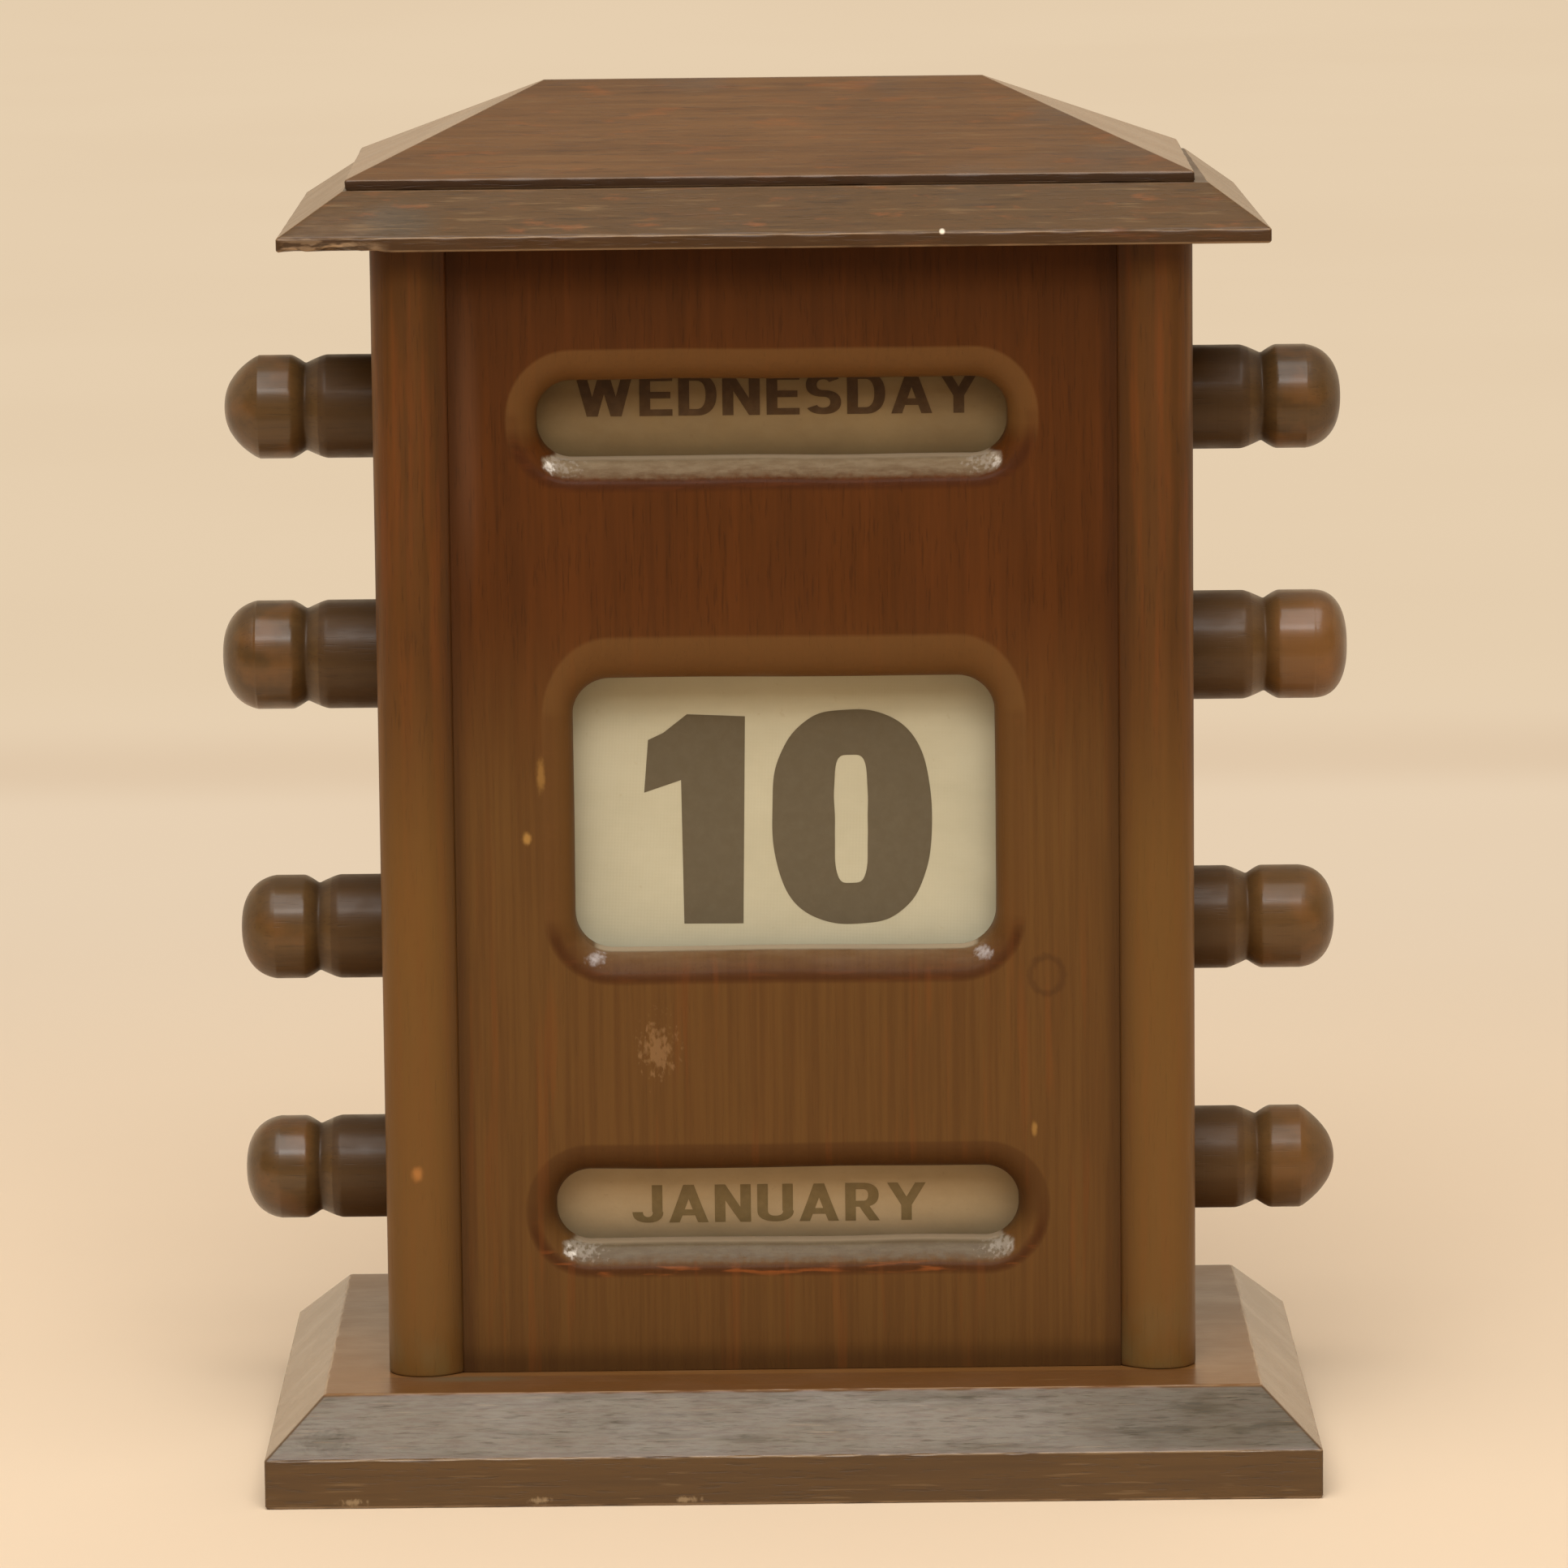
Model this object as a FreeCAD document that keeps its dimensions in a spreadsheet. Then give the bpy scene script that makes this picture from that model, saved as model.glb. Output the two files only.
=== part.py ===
import FreeCAD, Part

import os
import re

import Sketcher

# A wooden perpetual desk calendar: a small house on a plinth, with three windows.
# Millimetres. +Z is up, the windows face -Y, and the origin is the middle of the plinth's underside.
# Two drums carry the names of the days and months. The dates are on a strip that winds between two rollers.
# All four rollers turn about rods along X that lie in the plane y = 0.

SIZES = {
    # Printed drums and their labels
    "drum_length": 77.0,
    "drum_radius": 14.5,
    "drum_end_gap": 1.55,
    "label_thickness": 0.3,
    "label_inset": 2.5,
    # Date strip and the two cores that it winds between
    "core_radius": 12.0,
    "strip_inset": 3.5,
    "strip_thickness": 0.2,
    "date_pitch": 38.0,
    "web_gap": 0.3,
    # Gaps from one roller to the next, each with its fullest roll, up the case
    "month_floor_gap": 6.35,
    "month_date_gap": 0.7,
    "date_roll_gap": 4.5,
    "date_day_gap": 1.1,
    "day_roof_gap": 6.9,
    # Rods in their bearing holes
    "rod_radius": 3.0,
    "rod_clearance": 0.05,
    # Turned knobs: how far each reaches from the side board, and its parts from the board outwards
    "day_knob_reach": 19.0,
    "date_upper_knob_reach": 19.8,
    "date_lower_knob_reach": 18.2,
    "month_knob_reach": 18.2,
    "day_knob_radius": 6.4,
    "date_upper_knob_radius": 6.75,
    "date_lower_knob_radius": 6.4,
    "month_knob_radius": 6.4,
    "knob_gap": 0.3,
    "knob_socket_depth": 7.5,
    "knob_neck_depth": 1.05,
    "knob_collar_slope": 2.6,
    "knob_head_slope": 1.8,
    "knob_head_length": 4.5,
    "knob_dome_length": 4.2,
    "knob_dome_shoulder": 2.2,
    # Side boards
    "side_thickness": 9.1,
    "post_edge_radius": 4.0,
    "back_rebate_width": 4.5,
    # Front panel and its windows
    "panel_setback": 2.2,
    "panel_thickness": 6.0,
    "panel_drum_gap": 1.9,
    "window_rounding": 3.8,
    "day_window_width": 56.5,
    "day_window_height": 9.5,
    "day_window_corner": 4.2,
    "day_window_shift": -1.3,
    "day_window_rise": 0.33,
    "date_window_width": 51.0,
    "date_window_height": 33.7,
    "date_window_corner": 4.5,
    "date_window_shift": -0.25,
    "date_window_drop": 0.45,
    "month_window_width": 56.3,
    "month_window_height": 9.1,
    "month_window_corner": 4.2,
    "month_window_shift": -0.35,
    "month_window_drop": 1.25,
    # Back panel
    "back_thickness": 4.0,
    "back_drum_gap": 6.1,
    "back_edge_gap": 0.2,
    # Plinth, which reaches out past the case
    "base_height": 12.5,
    "base_band_height": 6.0,
    "base_bevel_inset": 7.0,
    "base_side_reach": 14.35,
    "base_front_reach": 15.4,
    # Roof board, which also reaches out past the case
    "roof_band_height": 1.7,
    "roof_bevel_height": 5.0,
    "roof_side_reach": 9.6,
    "roof_front_reach": 4.55,
    "roof_side_inset": 7.25,
    "roof_front_inset": 6.5,
    # Hipped cap, pushed over to the left edge of the roof board's flat
    "cap_margin": 1.05,
    "cap_shift": -1.0,
    "cap_band_height": 1.2,
    "cap_slope_height": 10.0,
    "ridge_length": 53.3,
    "ridge_width": 0.8,
    # Wood screws up through the plinth
    "base_screw_radius": 1.6,
    "base_screw_head_radius": 3.2,
    "base_screw_length": 20.0,
    "base_screw_sink": 0.3,
    "screw_place_y": 13.0,
    # Pins down through the roof board
    "roof_pin_radius": 0.7,
    "roof_pin_head_radius": 1.2,
    "roof_pin_head_height": 0.8,
    "roof_pin_length": 18.0,
    "roof_pin_sink": 0.2,
    # Round-head screws through the back panel
    "back_screw_radius": 0.8,
    "back_screw_head_radius": 1.7,
    "back_screw_head_height": 1.2,
    "back_screw_length": 12.0,
    "back_screw_end_margin": 12.0,
    # Slots in the screw heads
    "screw_slot_width": 0.5,
    "screw_slot_depth": 0.5,
    # How far every cutting shape runs past what it cuts
    "cut_overrun": 1.0,
}

# The strip shows the tenth of its thirty-one dates
dates_wound_count = 9
dates_waiting_count = 21

# Each label and the date strip stop short of the drums' ends
LABEL_WIDTH = "(drum_length - 2 * label_inset)"
STRIP_WIDTH = "(drum_length - 2 * strip_inset)"

# Radii of the rollers, with what is wound on them
LABEL_RADIUS = "(drum_radius + label_thickness)"
UPPER_ROLL = f"sqrt(core_radius ^ 2 + {dates_wound_count} * date_pitch * strip_thickness / pi)"
LOWER_ROLL = f"sqrt(core_radius ^ 2 + {dates_waiting_count} * date_pitch * strip_thickness / pi)"
dates_wound_in_all_count = dates_wound_count + dates_waiting_count
FULL_ROLL = f"sqrt(core_radius ^ 2 + {dates_wound_in_all_count} * date_pitch * strip_thickness / pi)"

# Heights of the four rods
CASE_FLOOR = "base_height"
MONTH_ROD = f"({CASE_FLOOR} + month_floor_gap + {LABEL_RADIUS})"
DATE_LOWER_ROD = f"({MONTH_ROD} + {LABEL_RADIUS} + month_date_gap + {FULL_ROLL})"
DATE_ROD_SPACING = f"(2 * {FULL_ROLL} + date_roll_gap)"
DATE_UPPER_ROD = f"({DATE_LOWER_ROD} + {DATE_ROD_SPACING})"
DAY_ROD = f"({DATE_UPPER_ROD} + {FULL_ROLL} + date_day_gap + {LABEL_RADIUS})"
CASE_TOP = f"({DAY_ROD} + {LABEL_RADIUS} + day_roof_gap)"
CASE_HEIGHT = f"({CASE_TOP} - {CASE_FLOOR})"

# The case's width, and how far it reaches to the front and back of the rods
INNER_WIDTH = "(drum_length + 2 * drum_end_gap)"
CASE_WIDTH = f"({INNER_WIDTH} + 2 * side_thickness)"
CASE_FRONT = f"({LABEL_RADIUS} + panel_drum_gap + panel_thickness + panel_setback)"
CASE_REAR = f"({LABEL_RADIUS} + back_drum_gap + back_thickness)"
CASE_DEPTH = f"({CASE_FRONT} + {CASE_REAR})"
CASE_MIDDLE_Y = f"(({CASE_REAR} - {CASE_FRONT}) / 2)"
SIDE_MIDDLE_X = f"(({INNER_WIDTH} + side_thickness) / 2)"
REBATE_FLOOR_Y = f"({CASE_REAR} - back_thickness)"

# Plinth, roof board and cap
BASE_WIDTH = f"({CASE_WIDTH} + 2 * base_side_reach)"
BASE_DEPTH = f"({CASE_DEPTH} + 2 * base_front_reach)"
ROOF_WIDTH = f"({CASE_WIDTH} + 2 * roof_side_reach)"
ROOF_DEPTH = f"({CASE_DEPTH} + 2 * roof_front_reach)"
ROOF_FLAT_WIDTH = f"({ROOF_WIDTH} - 2 * roof_side_inset)"
ROOF_FLAT_DEPTH = f"({ROOF_DEPTH} - 2 * roof_front_inset)"
ROOF_HEIGHT = "(roof_band_height + roof_bevel_height)"

# Height of the countersunk heads, whose sides slope at 45 degrees
BASE_SCREW_HEAD = "(base_screw_head_radius - base_screw_radius)"

# Middles of the round-head screws in the back panel, in the narrow strip that lies on each rebate
BACK_SCREW_X = f"({INNER_WIDTH} / 2 + back_rebate_width / 2)"

# One row for each window: width, height, corner radius, sideways place and height of its middle
WINDOWS = [
    ("day_window_width", "day_window_height", "day_window_corner",
     "day_window_shift", f"({DAY_ROD} + day_window_rise)"),
    ("date_window_width", "date_window_height", "date_window_corner",
     "date_window_shift", f"(({DATE_UPPER_ROD} + {DATE_LOWER_ROD}) / 2 - date_window_drop)"),
    ("month_window_width", "month_window_height", "month_window_corner",
     "month_window_shift", f"({MONTH_ROD} - month_window_drop)"),
]

# Each roller's name with the height of its rod
RODS = {
    "day": DAY_ROD,
    "date_upper": DATE_UPPER_ROD,
    "date_lower": DATE_LOWER_ROD,
    "month": MONTH_ROD,
}

LEFT, RIGHT = -1, 1
FRONT, BACK = -1, 1

doc = FreeCAD.newDocument("desk_calendar")
sheet = doc.addObject("Spreadsheet::Sheet", "Sizes")
for row, (alias, size) in enumerate(SIZES.items(), start=1):
    sheet.set(f"A{row}", alias)
    sheet.set(f"B{row}", str(size))
    sheet.setAlias(f"B{row}", alias)
doc.recompute()


def formula(text):
    """The formula with each named size read from the sheet."""
    def read_from_sheet(word):
        return "Sizes." + word.group() if word.group() in SIZES else word.group()
    return re.sub(r"[a-z_]+", read_from_sheet, text)


def number(text):
    """What a formula comes to with the sheet's present values."""
    return float(sheet.evalExpression(formula(text)))


def bind(item, **properties):
    """Ties properties of an object to formulas."""
    for name, text in properties.items():
        item.setExpression(name, formula(text))


def place(item, x="0", y="0", z="0"):
    """Ties the place of a sub-part's own origin to formulas."""
    for axis, text in zip("xyz", (x, y, z)):
        item.setExpression(f"Placement.Base.{axis}", formula(text))


# Sketching

def new_sketch(body, name, role, across="0", up="0", out="0"):
    """A sketch on one of the body's own planes, with its origin moved across, up and out of the plane."""
    sketch = body.newObject("Sketcher::SketchObject", name)
    plane = next(item for item in body.Origin.OriginFeatures if item.Role == role)
    sketch.AttachmentSupport = [(plane, "")]
    sketch.MapMode = "FlatFace"
    for axis, text in zip("xyz", (across, up, out)):
        sketch.setExpression(f"AttachmentOffset.Base.{axis}", formula(text))
    return sketch


def constrain(sketch, kind, *places, size):
    """A sized constraint whose value follows a formula."""
    index = sketch.addConstraint(Sketcher.Constraint(kind, *places, number(size)))
    sketch.setExpression(f"Constraints[{index}]", formula(size))


def pin_point(sketch, curve, end, x, y):
    """Ties one point of a curve to a place in the sketch."""
    if x == "0":
        sketch.addConstraint(Sketcher.Constraint("PointOnObject", curve, end, -2))
    else:
        constrain(sketch, "DistanceX", -1, 1, curve, end, size=x)
    if y == "0":
        sketch.addConstraint(Sketcher.Constraint("PointOnObject", curve, end, -1))
    else:
        constrain(sketch, "DistanceY", -1, 1, curve, end, size=y)


def add_rectangle(sketch, width, height):
    """A rectangle about the sketch's origin."""
    right = number(width) / 2
    top = number(height) / 2
    places = ((-right, -top), (right, -top), (right, top), (-right, top))
    corners = [FreeCAD.Vector(x, y, 0) for x, y in places]
    edges = [
        sketch.addGeometry(Part.LineSegment(corner, corners[(index + 1) % 4]), False)
        for index, corner in enumerate(corners)
    ]
    for index, edge in enumerate(edges):
        sketch.addConstraint(Sketcher.Constraint("Coincident", edge, 2, edges[(index + 1) % 4], 1))
    for edge in (edges[0], edges[2]):
        sketch.addConstraint(Sketcher.Constraint("Horizontal", edge))
    for edge in (edges[1], edges[3]):
        sketch.addConstraint(Sketcher.Constraint("Vertical", edge))
    sketch.addConstraint(Sketcher.Constraint("Symmetric", edges[0], 1, edges[2], 1, -1, 1))
    constrain(sketch, "DistanceX", edges[0], 1, edges[0], 2, size=width)
    constrain(sketch, "DistanceY", edges[1], 1, edges[1], 2, size=height)


def add_circle(sketch, radius, x="0", y="0"):
    """A circle at a place in the sketch."""
    middle = FreeCAD.Vector(number(x), number(y), 0)
    circle = sketch.addGeometry(Part.Circle(middle, FreeCAD.Vector(0, 0, 1), number(radius)), False)
    pin_point(sketch, circle, 3, x, y)
    constrain(sketch, "Radius", circle, size=radius)


def add_outline(sketch, points):
    """A closed outline through (x, y, radius) points, given clockwise. A radius makes the stretch to the next
    point a round one, which bulges outwards."""
    spots = [FreeCAD.Vector(number(x), number(y), 0) for x, y, radius in points]
    ends = []
    for index, (x, y, radius) in enumerate(points):
        here, there = spots[index], spots[(index + 1) % len(spots)]
        if radius is None:
            curve = sketch.addGeometry(Part.LineSegment(here, there), False)
            ends.append((curve, 1, 2))
            continue
        chord = there - here
        reach = number(radius)
        across = FreeCAD.Vector(chord.y, -chord.x, 0).normalize()
        middle = (here + there) / 2 + across * (reach ** 2 - (chord.Length / 2) ** 2) ** 0.5
        start = (there - middle).getAngle(FreeCAD.Vector(1, 0, 0))
        start = start if there.y >= middle.y else -start
        finish = (here - middle).getAngle(FreeCAD.Vector(1, 0, 0))
        finish = finish if here.y >= middle.y else -finish
        circle = Part.Circle(middle, FreeCAD.Vector(0, 0, 1), reach)
        curve = sketch.addGeometry(Part.ArcOfCircle(circle, start, finish), False)
        ends.append((curve, 2, 1))
        constrain(sketch, "Radius", curve, size=radius)
    for index, (x, y, radius) in enumerate(points):
        curve, first, last = ends[index]
        following, start_end, other_end = ends[(index + 1) % len(ends)]
        pin_point(sketch, curve, first, x, y)
        sketch.addConstraint(Sketcher.Constraint("Coincident", curve, last, following, start_end))


# Features

def feature(body, kind, name, sketch, **options):
    """A PartDesign feature on a sketch."""
    item = body.newObject("PartDesign::" + kind, name)
    item.Profile = sketch
    for option, value in options.items():
        setattr(item, option, value)
    return item


def pad(body, name, sketch, length, **options):
    """A pad of the given length."""
    item = feature(body, "Pad", name, sketch, **options)
    bind(item, Length=length)
    return item


def pocket(body, name, sketch, length, **options):
    """A pocket that has to take something away."""
    before = body.Tip
    item = feature(body, "Pocket", name, sketch, **options)
    bind(item, Length=length)
    doc.recompute()
    if item.Shape.Volume >= before.Shape.Volume:
        raise ValueError(f"{item.Label} cuts nothing")
    return item


def dress_edges(body, kind, name, belongs, **sizes):
    """A fillet or chamfer on the edges of the body's last feature for which belongs(edge) holds."""
    base = body.Tip
    edges = [f"Edge{index}" for index, edge in enumerate(base.Shape.Edges, start=1) if belongs(edge)]
    if not edges:
        raise ValueError(f"{name} finds no edge")
    item = body.newObject("PartDesign::" + kind, name)
    item.Base = (base, edges)
    bind(item, **sizes)
    doc.recompute()
    return item


def close(first, second):
    """Whether two lengths are the same, within a millionth of the case's width."""
    return abs(first - second) < number(CASE_WIDTH) * 1e-6


def runs_along(edge, axis):
    """Whether a straight edge runs along x, y or z."""
    if len(edge.Vertexes) != 2:
        return False
    chord = edge.Vertexes[1].Point - edge.Vertexes[0].Point
    return all(close(getattr(chord, name), 0) for name in "xyz" if name != axis)


def bevelled_block(label, width, depth, band_height, top_width, top_depth, slope_height):
    """A body about the Z axis: an upright band with four mitred slopes above it."""
    body = doc.addObject("PartDesign::Body", label)
    outline = new_sketch(body, label + "_outline", "XY_Plane")
    add_rectangle(outline, width, depth)
    pad(body, label + "_band", outline, band_height)
    lower = new_sketch(body, label + "_arris", "XY_Plane", out=band_height)
    add_rectangle(lower, width, depth)
    upper = new_sketch(body, label + "_top", "XY_Plane", out=f"{band_height} + {slope_height}")
    add_rectangle(upper, top_width, top_depth)
    feature(body, "AdditiveLoft", label + "_slopes", lower, Sections=[upper], Ruled=True)
    doc.recompute()
    return body


# Case

def base_plinth():
    """The plinth, with countersunk holes for the four screws that come up through it."""
    body = bevelled_block(
        "base_plinth", BASE_WIDTH, BASE_DEPTH, "base_band_height",
        f"{BASE_WIDTH} - 2 * base_bevel_inset", f"{BASE_DEPTH} - 2 * base_bevel_inset",
        "(base_height - base_band_height)",
    )
    holes = new_sketch(body, "screw_holes", "XY_Plane", out="-cut_overrun")
    for side in (LEFT, RIGHT):
        for end in (FRONT, BACK):
            add_circle(holes, "base_screw_radius", f"{side} * {SIDE_MIDDLE_X}", f"{end} * screw_place_y")
    pocket(body, "screw_shanks", holes, "base_height + 2 * cut_overrun", Reversed=True)
    heads = new_sketch(body, "screw_head_mouths", "XY_Plane", out="-cut_overrun")
    for side in (LEFT, RIGHT):
        for end in (FRONT, BACK):
            add_circle(heads, "base_screw_head_radius", f"{side} * {SIDE_MIDDLE_X}", f"{end} * screw_place_y")
    pocket(body, "screw_head_sinks", heads, "cut_overrun + base_screw_sink", Reversed=True)
    for side in (LEFT, RIGHT):
        for end in (FRONT, BACK):
            cone = body.newObject("PartDesign::SubtractiveCone", "countersink")
            bind(cone, Radius1="base_screw_head_radius", Radius2="base_screw_radius", Height=BASE_SCREW_HEAD)
            place(cone, f"{side} * {SIDE_MIDDLE_X}", f"{end} * screw_place_y", "base_screw_sink")
    doc.recompute()
    place(body, y=CASE_MIDDLE_Y)
    return body


def side_board(label, side):
    """A side board, standing on its own origin, with four bearing holes, a rebate at the back and a front
    edge rounded like a post. Side is -1 for the left board and 1 for the right one."""
    body = doc.addObject("PartDesign::Body", label)
    plan = new_sketch(body, label + "_plan", "XY_Plane", up=CASE_MIDDLE_Y)
    add_rectangle(plan, "side_thickness", CASE_DEPTH)
    pad(body, label + "_board", plan, CASE_HEIGHT)
    rebate = new_sketch(
        body, label + "_rebate", "XY_Plane", out="-cut_overrun",
        across=f"{-side} * (side_thickness / 2 - back_rebate_width / 2 + cut_overrun / 2)",
        up=f"{CASE_REAR} - back_thickness / 2 + cut_overrun / 2",
    )
    add_rectangle(rebate, "back_rebate_width + cut_overrun", "back_thickness + cut_overrun")
    pocket(body, label + "_back_rebate", rebate, f"{CASE_HEIGHT} + 2 * cut_overrun", Reversed=True)
    bores = new_sketch(body, label + "_bores", "YZ_Plane", out="-(side_thickness / 2 + cut_overrun)")
    for height in RODS.values():
        add_circle(bores, "rod_radius + rod_clearance", "0", f"{height} - {CASE_FLOOR}")
    pocket(body, label + "_bearings", bores, "side_thickness + 2 * cut_overrun", Reversed=True)
    front = -number(CASE_FRONT)
    dress_edges(
        body, "Fillet", label + "_post",
        lambda edge: runs_along(edge, "z") and close(edge.CenterOfMass.y, front),
        Radius="post_edge_radius",
    )
    screws = new_sketch(body, label + "_base_screws", "XY_Plane", out="-cut_overrun")
    for end in (FRONT, BACK):
        add_circle(screws, "base_screw_radius", "0", f"{CASE_MIDDLE_Y} + {end} * screw_place_y")
    pocket(
        body, label + "_screw_holes", screws,
        "cut_overrun + base_screw_sink + base_screw_length - base_height", Reversed=True,
    )
    pins = new_sketch(body, label + "_roof_pins", "XY_Plane", out=f"{CASE_HEIGHT} + cut_overrun")
    for end in (FRONT, BACK):
        add_circle(pins, "roof_pin_radius", "0", f"{CASE_MIDDLE_Y} + {end} * screw_place_y")
    pocket(body, label + "_pin_holes", pins, f"cut_overrun + roof_pin_length + roof_pin_sink - {ROOF_HEIGHT}")
    back = new_sketch(body, label + "_back_screws", "XZ_Plane", out=f"-({REBATE_FLOOR_Y} + cut_overrun)")
    for height in ("back_screw_end_margin", f"({CASE_HEIGHT} - back_screw_end_margin)"):
        add_circle(back, "back_screw_radius", f"{side} * ({BACK_SCREW_X} - {SIDE_MIDDLE_X})", height)
    pocket(
        body, label + "_back_screw_holes", back,
        "cut_overrun + back_screw_length - back_thickness", Reversed=True,
    )
    place(body, x=f"{side} * {SIDE_MIDDLE_X}", z=CASE_FLOOR)
    return body


def front_panel():
    """The front panel, from the bottom middle of its front face, with three windows rounded over in front."""
    body = doc.addObject("PartDesign::Body", "front_panel")
    face = new_sketch(body, "panel_face", "XZ_Plane", up=f"{CASE_HEIGHT} / 2")
    add_rectangle(face, INNER_WIDTH, CASE_HEIGHT)
    pad(body, "panel_board", face, "panel_thickness", Reversed=True)
    for index, (width, height, corner, shift, middle) in enumerate(WINDOWS):
        sketch = new_sketch(
            body, f"window_{index}", "XZ_Plane",
            across=shift, up=f"{middle} - {CASE_FLOOR}", out="cut_overrun",
        )
        add_rectangle(sketch, width, height)
        pocket(body, f"window_cut_{index}", sketch, "panel_thickness + 2 * cut_overrun")
        inside = (number(width) / 2, number(height) / 2, number(shift), number(middle) - number(CASE_FLOOR))
        dress_edges(
            body, "Fillet", f"window_corners_{index}",
            lambda edge: runs_along(edge, "y") and close(abs(edge.CenterOfMass.x - inside[2]), inside[0])
            and close(abs(edge.CenterOfMass.z - inside[3]), inside[1]),
            Radius=corner,
        )
    limit_x = number(INNER_WIDTH) / 2
    limit_z = number(CASE_HEIGHT)
    dress_edges(
        body, "Fillet", "window_rounding",
        lambda edge: close(edge.BoundBox.YMin, 0) and close(edge.BoundBox.YMax, 0)
        and not close(abs(edge.CenterOfMass.x), limit_x)
        and not close(edge.CenterOfMass.z, 0) and not close(edge.CenterOfMass.z, limit_z),
        Radius="window_rounding",
    )
    place(body, y=f"panel_setback - {CASE_FRONT}", z=CASE_FLOOR)
    return body


def back_panel():
    """The back panel, from the bottom middle of its back face, with holes for its four screws."""
    body = doc.addObject("PartDesign::Body", "back_panel")
    face = new_sketch(body, "back_face", "XZ_Plane", up=f"{CASE_HEIGHT} / 2")
    width = f"{INNER_WIDTH} + 2 * back_rebate_width - 2 * back_edge_gap"
    add_rectangle(face, width, f"{CASE_HEIGHT} - 2 * back_edge_gap")
    pad(body, "back_board", face, "back_thickness")
    holes = new_sketch(body, "back_screw_holes", "XZ_Plane", out="back_thickness + cut_overrun")
    for side in (LEFT, RIGHT):
        for height in ("back_screw_end_margin", f"({CASE_HEIGHT} - back_screw_end_margin)"):
            add_circle(holes, "back_screw_radius", f"{side} * {BACK_SCREW_X}", height)
    pocket(body, "back_screw_cuts", holes, "back_thickness + 2 * cut_overrun")
    place(body, y=CASE_REAR, z=CASE_FLOOR)
    return body


def roof_board():
    """The overhanging roof board, with sunk holes for the pins that hold it."""
    body = bevelled_block(
        "roof_board", ROOF_WIDTH, ROOF_DEPTH, "roof_band_height",
        ROOF_FLAT_WIDTH, ROOF_FLAT_DEPTH, "roof_bevel_height",
    )
    for name, radius, depth in (
        ("roof_pin_shanks", "roof_pin_radius", f"{ROOF_HEIGHT} + 2 * cut_overrun"),
        ("roof_pin_heads", "roof_pin_head_radius", "cut_overrun + roof_pin_sink + roof_pin_head_height"),
    ):
        holes = new_sketch(body, name + "_plan", "XY_Plane", out=f"{ROOF_HEIGHT} + cut_overrun")
        for side in (LEFT, RIGHT):
            for end in (FRONT, BACK):
                add_circle(holes, radius, f"{side} * {SIDE_MIDDLE_X}", f"{end} * screw_place_y")
        pocket(body, name, holes, depth)
    place(body, y=CASE_MIDDLE_Y, z=CASE_TOP)
    return body


def roof_cap():
    """The hipped cap on the roof board's flat."""
    body = bevelled_block(
        "roof_cap", f"{ROOF_FLAT_WIDTH} - 2 * cap_margin", f"{ROOF_FLAT_DEPTH} - 2 * cap_margin",
        "cap_band_height", "ridge_length", "ridge_width", "cap_slope_height",
    )
    place(body, x="cap_shift", y=CASE_MIDDLE_Y, z=f"{CASE_TOP} + {ROOF_HEIGHT}")
    return body


# Fasteners, each kind a group of separate solids

def group(label, pieces):
    """One sub-part of several separate solids."""
    item = doc.addObject("Part::Compound", label)
    item.Links = pieces
    return item


def base_screws():
    """Four countersunk wood screws, heads down and a little below the plinth's underside."""
    screws = []
    for side in (LEFT, RIGHT):
        for end in (FRONT, BACK):
            shank = doc.addObject("Part::Cylinder", "base_screw_shank")
            bind(shank, Radius="base_screw_radius", Height="base_screw_length")
            head = doc.addObject("Part::Cone", "base_screw_head")
            bind(head, Radius1="base_screw_head_radius", Radius2="base_screw_radius", Height=BASE_SCREW_HEAD)
            whole = doc.addObject("Part::Fuse", "base_screw_blank")
            whole.Base = shank
            whole.Tool = head
            slot = doc.addObject("Part::Box", "base_screw_slot")
            bind(slot, Length="2 * base_screw_head_radius")
            bind(slot, Width="screw_slot_width", Height="screw_slot_depth")
            place(slot, x="-base_screw_head_radius", y="-screw_slot_width / 2")
            screw = doc.addObject("Part::Cut", "base_screw")
            screw.Base = whole
            screw.Tool = slot
            middle_y = f"{CASE_MIDDLE_Y} + {end} * screw_place_y"
            place(screw, f"{side} * {SIDE_MIDDLE_X}", middle_y, "base_screw_sink")
            screws.append(screw)
    return group("base_screws", screws)


def roof_pins():
    """Four pins with small flat heads, sunk below the roof board's flat."""
    pins = []
    for side in (LEFT, RIGHT):
        for end in (FRONT, BACK):
            shank = doc.addObject("Part::Cylinder", "roof_pin_shank")
            bind(shank, Radius="roof_pin_radius", Height="roof_pin_length")
            head = doc.addObject("Part::Cylinder", "roof_pin_head")
            bind(head, Radius="roof_pin_head_radius", Height="roof_pin_head_height")
            place(head, z="roof_pin_length - roof_pin_head_height")
            pin = doc.addObject("Part::Fuse", "roof_pin")
            pin.Base = shank
            pin.Tool = head
            foot = f"{CASE_TOP} + {ROOF_HEIGHT} - roof_pin_sink - roof_pin_length"
            place(pin, f"{side} * {SIDE_MIDDLE_X}", f"{CASE_MIDDLE_Y} + {end} * screw_place_y", foot)
            pins.append(pin)
    return group("roof_pins", pins)


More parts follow.
